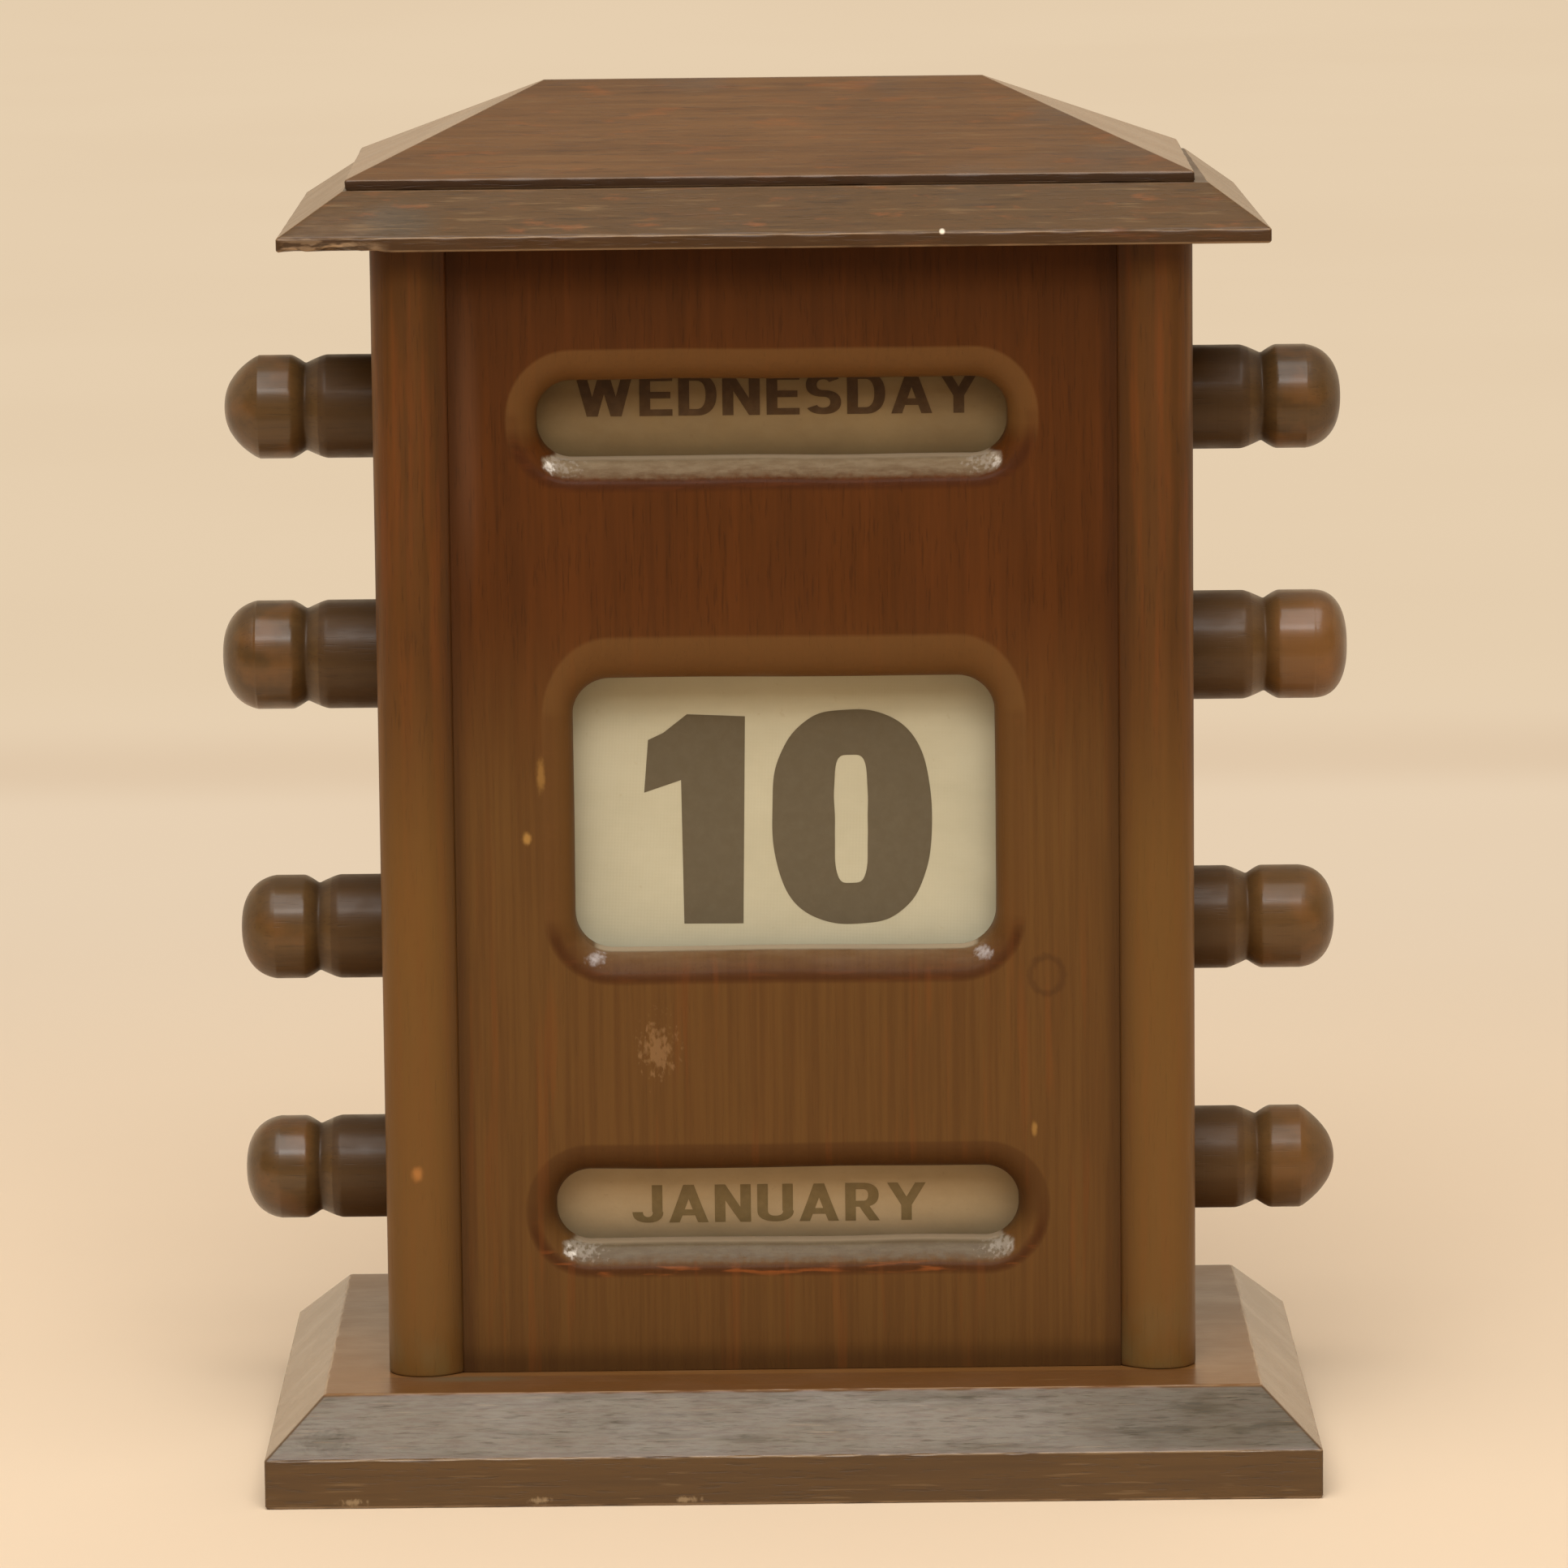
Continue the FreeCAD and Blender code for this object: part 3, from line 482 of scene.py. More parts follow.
def sill_wear_and_reflection(finish):
    """Lays over the shade the lower edges of the windows: rubbed varnish in grey beige under a painted
    reflection, brightest towards the top, a painted highlight line along the top edge, and near both ends a
    painted grey sheen round a painted glint. Gives where they are."""
    under = finish.shade
    ragged = finish.noise(finish.spread((1.0, 1.0, 0.7), (3, 3, 1)), 3.0)
    where = finish.fade(finish.carried("sill") + ragged * 0.5, 0.5, 1.12)
    # Grey beige of rubbed varnish with a painted reflection, brighter towards the top of each sill.
    streaks = finish.blotch((2.4, 0.9, 0.6), 0.3, 0.7, shift=(1, 1, 3), detail=4.0, rough=0.65)
    streaks = streaks * 0.6 + finish.fade(finish.carried("sill"), 0.55, 1.0, 0, 0.4)
    high = finish.fade(finish.along("z"), 60, 110)
    dark = finish.mix(high, (88, 72, 52), (100, 80, 56))
    light = finish.mix(high, (104, 90, 68), (126, 109, 85))
    finish.shade = finish.mix(streaks, dark, light)
    # Painted highlight line along the top edge of each sill.
    finish.stain((170, 150, 123), finish.carried("brink_highlight"), 0.75)
    # Painted grey sheen and painted glints near both ends of the day and month sills.
    for x, z, strength in ((-28.2, 123.1, 0.9), (25.6, 123.4, 0.5), (-26.9, 27.0, 0.9), (27.0, 27.0, 0.2)):
        finish.mark((160, 150, 136), 0.5, (x, -20.6, z + 0.3), (4.0, 3, 2.2), 0.8, 3.4)
        finish.mark((226, 220, 210), strength, (x, -20.6, z), (0.9, 3, 0.9), 0.9, 3.0)
    finish.shade = finish.mix(where, under, finish.shade)
    return where


def case_wood():
    """Side boards: upright grain, paler and yellower than the panel, rubbed pale along the outer edges, with
    painted shade on their inner front curves beside the panel.
    """
    finish = Finish("case_wood")
    height = grained(finish, "z", (94, 57, 20), (71, 43, 14), (48, 29, 10), 1.2, (2, 9, 4))
    finish.stain((112, 79, 34), finish.fade(finish.along("z"), 104, 70, 0, 0.66))
    red = finish.blotch((1.7, 6, 34), 0.46, 0.68, shift=(3, 0, 8), rough=0.6)
    strength = finish.fade(finish.along("z"), 85, 112, 0.12, 0.34)
    finish.stain((120, 62, 20), red, strength)
    # Painted shade on the posts beside the groove at the panel.
    finish.stain((54, 28, 10), finish.carried("seam_shade") * 0.55)
    worn = finish.carried("arris") * finish.blotch((1.6, 1.6, 14), 0.38, 0.66, detail=4.0)
    finish.stain((138, 96, 52), worn, 0.4)
    finish.mark((176, 116, 58), 0.7, (-45.2, -24.9, 37.7), (1.0, 2, 1.3), 0.9, 0.4)
    low = finish.fade(finish.along("z"), 26, 12.5)
    dust = low * finish.blotch((4, 4, 6), 0.35, 0.7)
    finish.stain((96, 92, 60), dust, 0.25)
    rough = finish.blotch((7, 7, 20), 0.3, 0.7, 0.45, 0.62)
    return finish.done(rough, height, 0.03, coat=0.14, coat_rough=0.24, gloss=0.2)


def roof_wood():
    """Roof board and cap: grain from side to side with short orange flecks and dull grey parts, worn arrises,
    a dark band round the foot of the cap, and a painted reflection that makes the side slopes paler."""
    finish = Finish("roof_wood")
    height = grained(finish, "x", (115, 81, 47), (87, 60, 34), (64, 44, 24), 0.9, (1, 4, 8))
    red = finish.blotch((6, 1.6, 1.6), 0.56, 0.72, shift=(2, 2, 0))
    finish.stain((136, 80, 36), red, 0.34)
    grey = finish.blotch((19, 14, 14), 0.5, 0.72, shift=(7, 2, 0))
    dull = finish.patch((-45.5, -27, 153.5), (7, 6, 4), 0.8, 0.5)
    grey = grey * 0.3 + dull * 0.9
    finish.stain((86, 82, 73), grey)
    up = finish.along("z")
    ledge = finish.fade(up, 157.0, 156.6)
    finish.stain((78, 56, 26), ledge, 0.7)
    lines = finish.noise(finish.spread((9, 0.7, 0.5), (4, 0, 2)), 3.0, 0.6)
    weight = ledge * 0.16 + 0.2
    finish.stain((40, 30, 18), finish.fade(lines, 0.44, 0.3), weight)
    finish.stain((134, 106, 70), finish.fade(lines, 0.56, 0.7), weight)
    flecks = finish.blotch((5.5, 1.5, 1.5), 0.56, 0.76, shift=(5, 2, 3), rough=0.65)
    finish.stain((146, 84, 40), flecks, ledge * 0.4)
    finish.stain((58, 33, 15), finish.fade(up, 152.1, 151.6, 0, 0.6))
    # A darker band round the foot of the cap.
    foot = finish.fade(up, 156.7, 156.9) * finish.fade(up, 158.15, 157.8)
    finish.stain((48, 28, 12), foot, 0.85)
    worn = finish.carried("arris") * finish.blotch((7, 2, 2), 0.28, 0.52, detail=4.0)
    worn *= finish.fade(up, 157.4, 156.6, 0.15, 0.5)
    finish.stain((168, 138, 102), worn)
    # Painted reflection: the side slopes paler, as they look at a glancing angle.
    finish.stain((172, 126, 74), finish.carried("side"), 0.25)
    broken = finish.carried("chip")
    splinter = finish.mix(finish.blotch((2.4, 0.6, 0.6), 0.4, 0.6), (64, 50, 36), (178, 150, 118))
    finish.stain(splinter, broken, 0.8)
    finish.mark((230, 216, 194), None, (19.1, -28.9, 151.9), (0.45, 2, 0.42), 0.6)
    rough = finish.blotch((12, 8, 8), 0.3, 0.7, 0.42, 0.6)
    varnish = finish.carried("side") * 0.4 + finish.fade(up, 156.6, 157.0, 0.2, 0.33)
    return finish.done(rough, height, 0.04, coat=varnish, coat_rough=0.2, gloss=0.3)


def plinth_wood():
    """Plinth: grain from side to side, with a greyish film and a painted reflection on the front bevel, side
    bevels made paler as a painted reflection, painted shade on the top just in front of the case, scratches
    on the band and dirt where the case stands."""
    finish = Finish("plinth_wood")
    height = grained(finish, "x", (91, 63, 26), (70, 47, 19), (49, 34, 15), 1.0, (6, 3, 2))
    ahead = finish.along("y")
    up = finish.along("z")
    bevel = finish.fade(ahead, -33.0, -34.2) * finish.fade(up, 6.0, 6.6)
    # Greyish film with a painted reflection of the overhead light on the front bevel.
    bloom_and_sheen = finish.blotch((2.6, 0.4, 0.4), 0.34, 0.6, shift=(0, 4, 0), detail=4.0, rough=0.65)
    bloom_and_sheen = bloom_and_sheen * 0.34 + 0.12
    bevel *= 1 - finish.carried("side")
    finish.stain((110, 103, 80), bevel, bloom_and_sheen)
    dark = finish.blotch((3.2, 0.5, 0.36), 0.56, 0.7, shift=(7, 0, 4), rough=0.6)
    corner = finish.patch((-56, -38.5, 8), (4.5, 3, 2), 0.8, 1.6)
    dark = dark * 0.45 + corner * 0.4
    cloud = finish.blotch((13, 2.4, 1.8), 0.5, 0.72, shift=(2, 0, 5), rough=0.6)
    right = finish.fade(finish.along("x"), 24, 46, 0, 0.5)
    dark += cloud * 0.45 + right
    finish.stain((66, 56, 38), bevel, dark)
    # Painted reflection: the side bevels paler, as they look at a glancing angle.
    side = finish.carried("side")
    finish.stain((168, 124, 66), side, 0.2)
    finish.stain((84, 54, 26), finish.carried("mitre"), 0.4)
    finish.stain((146, 96, 46), finish.fade(up, 12.2, 12.5, 0, 0.5))
    # Painted shade on the top of the plinth just in front of the case, between the posts.
    under = finish.fade(ahead, -24.4, -25.2) * finish.fade(up, 12.2, 12.4)
    under *= finish.fade(abs(finish.along("x")), 50.5, 48.5)
    finish.stain((92, 56, 24), under, 0.6)
    finish.mark((96, 90, 66), 0.5, (-39, -26, 12.5), (10, 2.2, 1.2), 0.9, 1.0)
    scratch = finish.blotch((9, 0.4, 0.4), 0.64, 0.72, shift=(3, 1, 5), detail=2.0)
    finish.stain((180, 148, 106), scratch, 0.12)
    worn = finish.carried("arris") * finish.blotch((5, 3, 3), 0.34, 0.56, detail=4.0)
    finish.stain((176, 150, 116), worn, 0.5)
    for x in (-52.8, -30.4, -12.8):
        finish.mark((184, 158, 120), 0.4, (x, -40.3, 0.8), (1.9, 2, 0.5), 0.9, 2.4)
    rough = finish.blotch((12, 8, 8), 0.3, 0.7, 0.42, 0.62)
    varnish = 0.6 - bevel * dark * 0.8
    varnish += side * 0.4
    varnish *= finish.fade(up, 5.6, 6.0, 0.6, 1.0)
    return finish.done(rough, height, 0.04, coat=varnish, coat_rough=0.22, gloss=0.45)


def knob_wood():
    """Turned knobs: dark, with fine turning rings, and darker in the neck."""
    finish = Finish("knob_wood")
    height = grained(finish, "x", (94, 68, 35), (71, 50, 25), (48, 33, 16), 1.4, (9, 2, 5))
    # Painted shade in the groove of the neck, over its darker end grain.
    deep = finish.carried("neck")
    finish.stain((50, 34, 20), deep, 0.6)
    finish.stain((66, 45, 25), finish.carried("collar"), 0.5)
    rub = finish.carried("head") * finish.blotch((5, 5, 5), 0.46, 0.7, shift=(1, 5, 2))
    finish.stain((122, 80, 38), rub, 0.4)
    finish.mark((138, 88, 40), 0.38, (64, -2, 97.8), (6, 12, 9))
    right = finish.fade(finish.along("x"), 45, 60, 0, 0.22)
    right *= finish.fade(finish.along("z"), 120, 108)
    finish.stain((120, 84, 44), right)
    rings = finish.noise(finish.spread((0.28, 40, 40)), 2.0)
    height += rings * 0.6
    rough = finish.blotch((3, 3, 3), 0.3, 0.7, 0.4, 0.55)
    varnish = finish.blotch((26, 26, 26), 0.36, 0.64, 0.26, 0.66, shift=(1, 0, 3), detail=1.0)
    varnish *= 1 - finish.carried("collar") * 0.7
    varnish *= 1 - deep * 0.8
    return finish.done(rough, height, 0.02, coat=varnish, coat_rough=0.2, gloss=0.25)


def back_wood():
    """Back panel: plain thin board, upright grain, little varnish."""
    finish = Finish("back_wood")
    height = grained(finish, "z", (134, 92, 52), (88, 56, 30), (52, 32, 18), 9.0, (4, 7, 1))
    rough = finish.blotch((9, 9, 18), 0.3, 0.7, 0.55, 0.7)
    return finish.done(rough, height, 0.07, coat=0.15, coat_rough=0.35)


def roller_wood():
    """Rods, drums and cores: bare pale wood turned on a lathe, with grime."""
    finish = Finish("roller_wood")
    height = grained(finish, "x", (188, 152, 108), (150, 112, 72), (108, 76, 46), 5.0)
    grime = finish.blotch((14, 9, 9), 0.45, 0.72)
    finish.stain((112, 86, 58), grime, 0.35)
    rough = finish.blotch((5, 5, 5), 0.3, 0.7, 0.6, 0.75, detail=2.0)
    return finish.done(rough, height, 0.08)


def aged_paper(name, light, dark, spot, weave=False):
    """Old paper or cloth strip: mottled, foxed, with faint fibres or a weave."""
    finish = Finish(name)
    mottle = finish.blotch((16, 16, 9), 0.3, 0.7, detail=4.0, rough=0.6)
    finish.shade = finish.mix(mottle, dark, light)
    fox = finish.blotch((1.3, 1.3, 1.3), 0.68, 0.78, shift=(4, 4, 1))
    finish.stain(spot, fox, 0.16)
    if weave:
        across, upward = (
            finish.value("TexWave", {"Vector": finish.spread(size), "Scale": 1.0}, "Fac", bands_direction=way)
            for size, way in (((0.42, 30, 30), "X"), ((30, 30, 0.42), "Z"))
        )
        height = (across + upward) * 0.5
        # Painted shadow near the top of the date window, where the panel overhangs the strip.
        finish.stain(spot, finish.fade(finish.along("z"), 92.5, 98, 0, 0.22))
    else:
        height = finish.noise(finish.spread((0.5, 0.5, 0.3)), 3.0)
    finish.stain(spot, height, 0.08)
    rough = finish.blotch((3, 3, 3), 0.3, 0.7, 0.66, 0.82, detail=2.0)
    return finish.done(rough, height, 0.015)


def printers_ink(name, dark, light):
    """Flat old printing ink, a little uneven where the paper shows through."""
    finish = Finish(name)
    thin = finish.blotch((1.2, 1.2, 1.2), 0.35, 0.75, detail=4.0, rough=0.65)
    finish.shade = finish.mix(thin * 0.6, dark, light)
    rough = finish.blotch((2, 2, 2), 0.3, 0.7, 0.62, 0.76, detail=2.0)
    return finish.done(rough, thin, 0.004)


def worn_metal(name, bright, dull):
    """Screws and pins: metal gone dull, with fine scratches."""
    finish = Finish(name)
    tarnish = finish.blotch((1.3, 1.3, 1.3), 0.35, 0.65, detail=4.0, rough=0.6)
    finish.shade = finish.mix(tarnish, bright, dull)
    rough = finish.fade(tarnish, 0, 1, 0.32, 0.58)
    height = finish.noise(finish.spread((0.2, 0.9, 0.2)), 3.0)
    return finish.done(rough, height, 0.01, metal=1.0)


def make_finishes():
    """Every finish of the calendar."""
    for wood in (panel_wood, case_wood, roof_wood, plinth_wood, knob_wood, back_wood, roller_wood):
        wood()
    # Painted shade: the day's paper is given darker than the month's, for the shade in its window under the
    # roof.
    aged_paper("day_paper", (134, 112, 76), (123, 101, 67), (96, 66, 36))
    aged_paper("month_paper", (187, 164, 127), (174, 152, 115), (110, 74, 40))
    aged_paper("date_linen", (190, 184, 157), (182, 176, 149), (150, 120, 80), weave=True)
    printers_ink("day_ink", (72, 49, 24), (88, 63, 36))
    printers_ink("month_ink", (122, 103, 66), (136, 116, 77))
    printers_ink("date_ink", (92, 81, 60), (98, 87, 66))
    worn_metal("brass", (196, 160, 92), (112, 84, 48))
    worn_metal("steel", (150, 146, 140), (86, 78, 70))


# Plinth, roof board and cap

def hipped_block(name, node, band, inset_x, inset_y, soft, wear, longer=((0, 0), (0, 0)), lean=0.0,
                 chip=None):
    """A block with an upright band and four mitred slopes. Its profile, in steps inwards and up, is carried
    round a rounded rectangle: a point is half size minus the step in, the step on each side being its share
    of that side's inset. The arrises are lowered where a smooth ripple is high, as if rubbed. A point at
    the share s of the way to an end moves out by s ^ 3 of how much longer that end is than the solid's, a
    value for the left and the right end that runs evenly from front to back. Its top leans sideways by its
    share of height."""
    low, high = box_of(node)
    middle = (low + high) / 2
    half = (high - low)[:2] / 2
    inset = (inset_x + inset_y) / 2
    tall = high[2] - low[2]
    profile, arris = softened(
        [(3.0, 0.0), (0.0, 0.0), (0.0, band), (inset, tall), (inset + 3.0, tall)], soft,
    )
    signs, ways = rim(int(half[0] * 2.2), int(half[1] * 2.2), 4)
    step = profile[:, 0]
    share = np.clip(step / inset, 0, 1)
    past = np.maximum(step - inset, 0)
    half_x = np.maximum(half[0] - share * inset_x - past, 0.0)
    half_y = np.maximum(half[1] - share * inset_y - past, 0.0)
    corner = np.minimum(np.minimum(half_x, half_y), soft)
    x = (half_x - corner)[:, None] * signs[:, 0] + corner[:, None] * ways[:, 0]
    y = (half_y - corner)[:, None] * signs[:, 1] + corner[:, None] * ways[:, 1]
    skin = joined(x, y, profile[:, 1][:, None])
    edge = arris[:, None] * np.ones(len(signs))
    sloping = ((profile[:, 1] > band) * (past == 0))[:, None]
    mitre = (np.abs(ways).min(1) > 0.2)[None, :] * sloping
    side = (np.abs(ways[:, 0]) > 0.8)[None, :] * sloping
    rubbed = edge * np.clip(ripple(skin, 3.4, len(name)) + 0.35, 0, 1) * wear
    skin[..., 0] -= rubbed * signs[:, 0] * (np.abs(ways[:, 0]) > 0.2)
    skin[..., 1] -= rubbed * signs[:, 1] * (np.abs(ways[:, 1]) > 0.2)
    skin[..., 2] -= rubbed * (profile[:, 1] > soft)[:, None] * 0.6
    values = {"arris": edge, "mitre": mitre, "side": side, "chip": np.zeros_like(edge)}
    if chip:
        skin, values["chip"] = chip(skin, half)
    share = np.clip(skin[..., 0] / half[0], -1, 1)
    depth = np.clip(skin[..., 1] / half[1] + 1, 0, 2) / 2
    left, right = (front + (rear - front) * depth for front, rear in longer)
    skin[..., 0] += np.where(share < 0, left, right) * share ** 3 + lean * skin[..., 2] / tall
    place = np.array([middle[0], middle[1], low[2]])
    ends = []
    for row in (0, -1):
        shrink = np.linspace(1, 0, 6)[:, None, None]
        flat = skin[row][None] * np.array([1, 1, 0]) * shrink + np.array([0, 0, 1]) * skin[row][None]
        flat[..., 2] = skin[row][:, 2].mean() * (1 - shrink[..., 0]) + skin[row][None, :, 2] * shrink[..., 0]
        ends.append((flat + place, True, {}))
    return grids_to_mesh(name, [(skin + place, True, values), *ends])


def roof_chip(skin, half):
    """The splinter lost from the lower left end of the roof board's front edge: points of the band near
    that end move up and back by a ragged amount."""
    along = skin[..., 0] + half[0]
    front = np.clip((-half[1] + 1.9 - skin[..., 1]) / 1.2, 0, 1)
    low = np.clip((2.1 - skin[..., 2]) / 1.9, 0, 1)
    reach = np.clip((12.5 - along) / 2.5, 0, 1) * np.clip(along / 1.5, 0.2, 1)
    ragged = 0.75 + 0.35 * ripple(skin, 2.6, 31)
    amount = front * low * reach * ragged
    moved = skin.copy()
    moved[..., 2] += amount * np.clip(0.9 - skin[..., 2], 0, 1) * 0.6
    moved[..., 1] += amount * 0.55
    return moved, np.clip(amount * 1.3, 0, 1)


def make_blocks():
    """Plinth, roof board and cap."""
    plinth = hipped_block("plinth", "base_plinth", plinth_band, plinth_inset, plinth_inset, plinth_arris,
                          0.07)
    piece(plinth, "plinth_wood", "case", "base_plinth")
    board = hipped_block("roof_ledge", "roof_board", roof_band, roof_side_inset, roof_front_inset, roof_arris,
                         0.07, ((1.1, 0.5), (-0.6, -1.9)), chip=roof_chip)
    piece(board, "roof_wood", "case", "roof_board")
    low, high = box_of("roof_cap")
    cap = hipped_block("hipped_cap", "roof_cap", cap_band, (high[0] - low[0] - ridge_length) / 2,
                       (high[1] - low[1] - ridge_width) / 2, cap_arris, 0.05, ((0.4, 0.4), (0, 0)), lean=-0.9)
    piece(cap, "roof_wood", "case", "roof_cap")


# Boards

def upright_board(name, plan, around, low_z, high_z, soft=0.25):
    """A board with any plan, carried straight up. The plan shrinks towards its middle by soft in the last
    bit of height at each end, and its ends close on the middle."""
    plan = np.array(plan, float)
    middle = (plan.min(0) + plan.max(0)) / 2
    half = (plan.max(0) - plan.min(0)) / 2
    angles = np.linspace(0, math.pi / 2, 5)
    lower = [(1 - math.sin(a)) * soft for a in angles]
    heights = [*(low_z + (1 - np.cos(angles)) * soft), *np.linspace(low_z + 2 * soft, high_z - 2 * soft, 90),
               *(high_z - (1 - np.cos(angles[::-1])) * soft)]
    drawn = [*lower, *([0.0] * 90), *lower[::-1]]
    heights, drawn = np.array(heights), np.array(drawn)
    scale = 1 - drawn[:, None] / half
    flat = middle + (plan - middle)[None] * scale[:, None, :]
    skin = joined(flat[..., 0], flat[..., 1], heights[:, None])
    values = {key: np.broadcast_to(value, skin.shape[:2]) for key, value in around.items()}
    ends = []
    for row in (0, -1):
        shrink = np.linspace(1, 0, 4)[:, None, None]
        cap = skin[row][None].repeat(4, 0)
        cap[..., :2] = middle + (cap[..., :2] - middle) * shrink
        ends.append((cap, True, {}))
    return grids_to_mesh(name, [(skin, True, values), *ends])


def side_plan(side, low, high):
    """The plan of a side board: a quarter circle at the outer front corner, small arrises at the back and a
    rebate for the back panel on the inner side. At a share s of the inner front curve the front lies back
    by (1 - s) ^ 1.6 of the panel's setback, so it ends flush with the panel. Anticlockwise."""
    outer, inner = (high[0], low[0]) if side > 0 else (low[0], high[0])
    front, rear = low[1], high[1]
    inward = -side

    def turn(x, y, radius, start, end, count):
        angles = np.radians(np.linspace(start, end, count))
        return joined(x + side * radius * np.cos(angles), y + radius * np.sin(angles))

    small = post_arris
    share = np.linspace(0, 1, 14)
    parts = [
        joined(inner + side * post_round * share, front + panel_setback * (1 - share) ** 1.6),
        turn(outer - side * post_round, front + post_round, post_round, 270, 360, 14),
        joined(outer, np.linspace(front + post_round + 1, rear - 1, 22)),
        turn(outer - side * small, rear - small, small, 0, 90, 5),
        turn(inner - inward * (rebate_width + small), rear - small, small, 90, 180, 5),
        np.array([[inner - inward * rebate_width, rear - rebate_depth]]),
        np.array([[inner, rear - rebate_depth]]),
        joined(inner, np.linspace(rear - rebate_depth - 2, front + post_round + 1, 12)),
    ]
    plan = np.concatenate(parts)
    arris = np.zeros(len(plan))
    arris[21:29] = [0.2, 0.5, 0.8, 1.0, 1.0, 0.8, 0.5, 0.1]
    arris[50:60] = 0.8
    # Painted shade on the inner front curve, strongest next to the panel.
    seam_shade = np.zeros(len(plan))
    seam_shade[:8] = [1, 0.9, 0.7, 0.5, 0.35, 0.2, 0.1, 0.05]
    return plan, {"arris": arris, "seam_shade": seam_shade}


def make_boards():
    """Both side boards and the back panel."""
    for name, side in (("left", -1), ("right", 1)):
        low, high = box_of(f"{name}_side_board")
        plan, around = side_plan(side, low, high)
        mesh = upright_board(f"{name}_post_board", plan, around, low[2], high[2])
        piece(mesh, "case_wood", "case", f"{name}_side_board")
    low, high = box_of("back_panel")
    signs, ways = rim(40, 3, 3)
    half = (high - low)[:2] / 2
    middle = ((high + low) / 2)[:2]
    plan = middle + (half - back_arris) * signs + back_arris * ways
    mesh = upright_board("back_board", plan, {}, low[2], high[2], 0.3)
    piece(mesh, "back_wood", "case", "back_panel")


# Front panel

def upright_points(window):
    """How many points a ring has along each upright side."""
    return tall_points if window[3] > 20 else low_points


def window_ring(window, flatness, crown, left, right, bottom, top, front, back, seed):
    """The part of the panel about one window, as rows of points from the front rectangle, down the round
    edge of the window, through it and out to the back rectangle. The round edge is a quarter circle: offset
    R * (1 - cos a) and depth R * (1 - sin a). Along the bottom it is drawn towards its chord from 20 to 70
    degrees by the flatness. Along the top the offset grows by the crown's share. A ripple moves it by a few
    hundredths, as it was cut by hand."""
    across, up, width, height, corner = window
    signs, ways = rim(level_points, upright_points(window), corner_points)
    frame_x = left + (signs[:, 0] + 1) / 2 * (right - left)
    frame_z = bottom + (signs[:, 1] + 1) / 2 * (top - bottom)

    def outline(offset, depth):
        half = np.array([width / 2, height / 2]) + offset
        round_off = corner + offset
        flat = (half - round_off) * signs + round_off * ways
        flat[:, 1] += crown * offset * np.clip(ways[:, 1], 0, 1)
        wave = ripple(joined(flat[:, 0], flat[:, 1], seed * 9.0), 17.0, seed)
        push = wave * 0.1 * np.clip(1.2 - abs(offset - 1.6) / 3, 0, 1)
        return joined(across + flat[:, 0] + ways[:, 0] * push, depth, up + flat[:, 1] + ways[:, 1] * push)

    downward = np.clip(-ways[:, 1] * 4 - 2.5, 0, 1)
    border = joined(frame_x, front, frame_z)
    angles = np.radians(np.linspace(90, 0, 19))
    chord_ends = np.radians([20, 70])
    outer = outline(window_round + 0.7, front)
    rows = [border, outer * 0.5 + border * 0.5, outer]
    for a in angles:
        arc = outline(window_round * (1 - math.cos(a)), front + window_round * (1 - math.sin(a)))
        share = (a - chord_ends[0]) / (chord_ends[1] - chord_ends[0])
        if 0 < share < 1:
            offset, depth = (1 - f(chord_ends[0]) + share * (f(chord_ends[0]) - f(chord_ends[1]))
                             for f in (math.cos, math.sin))
            chord = outline(window_round * offset, front + window_round * depth)
            arc += (chord - arc) * (downward * flatness)[:, None]
        rows.append(arc)
    rows += [outline(0.0, back - 0.6), outline(0.0, back - 0.25), outline(0.1, back - 0.07),
             outline(0.3, back), outline(0.9, back), joined(frame_x, back, frame_z)]
    turn = np.concatenate([[90, 90, 90], np.degrees(angles), [0, 0, 0, 0, 0, 0]])
    bend = np.interp(turn, [0, 30, 85, 90], [1, 1, 0.9, 0.0])[:, None]
    upper = np.clip(ways[:, 1] * 2 + 0.9, 0, 1)
    round_edge = flatness < 0.5
    lip = np.interp(turn, [20, 50, 60, 72, 82, 90], [0, 0.4 * round_edge, 0.5 * round_edge, 1, 1, 0])
    lip = lip[:, None] * np.clip(0.3 - ways[:, 1] * 2, 0, 1)
    filed = [0, 8, 14, 20] if round_edge else [0, 24, 58, 74]
    reach = np.clip(-ways[:, 1] * 2.5 - 1.2, 0, 1)
    rows = np.array(rows)
    level = np.clip((up - height / 2 + 0.9 - rows[..., 2]) / 0.6, 0, 1)
    inside = np.clip((width / 2 - 0.3 - np.abs(rows[..., 0] - across)) / 0.6, 0, 1)
    sill = np.interp(turn, filed, [1, 1, 0.6, 0])[:, None] * level * inside
    sheen = np.interp(turn, [8, 14, 34, 58], [0, 1, 0.5, 0])[:, None] * reach * round_edge
    brink_highlight = np.interp(turn, [0, 6, 18, 90], [1, 1, 0, 0])[:, None] * level * downward
    # Shares of painted light: the upper and side round edges get painted light, the date window's round lower
    # edge a painted sheen, and the top edge of each sill a painted highlight line; the sills get a painted
    # reflection over their wear.
    values = {"mouth_light": bend * upper, "sill": sill, "lip": lip, "brink_highlight": brink_highlight, "sheen": sheen}
    return rows, values


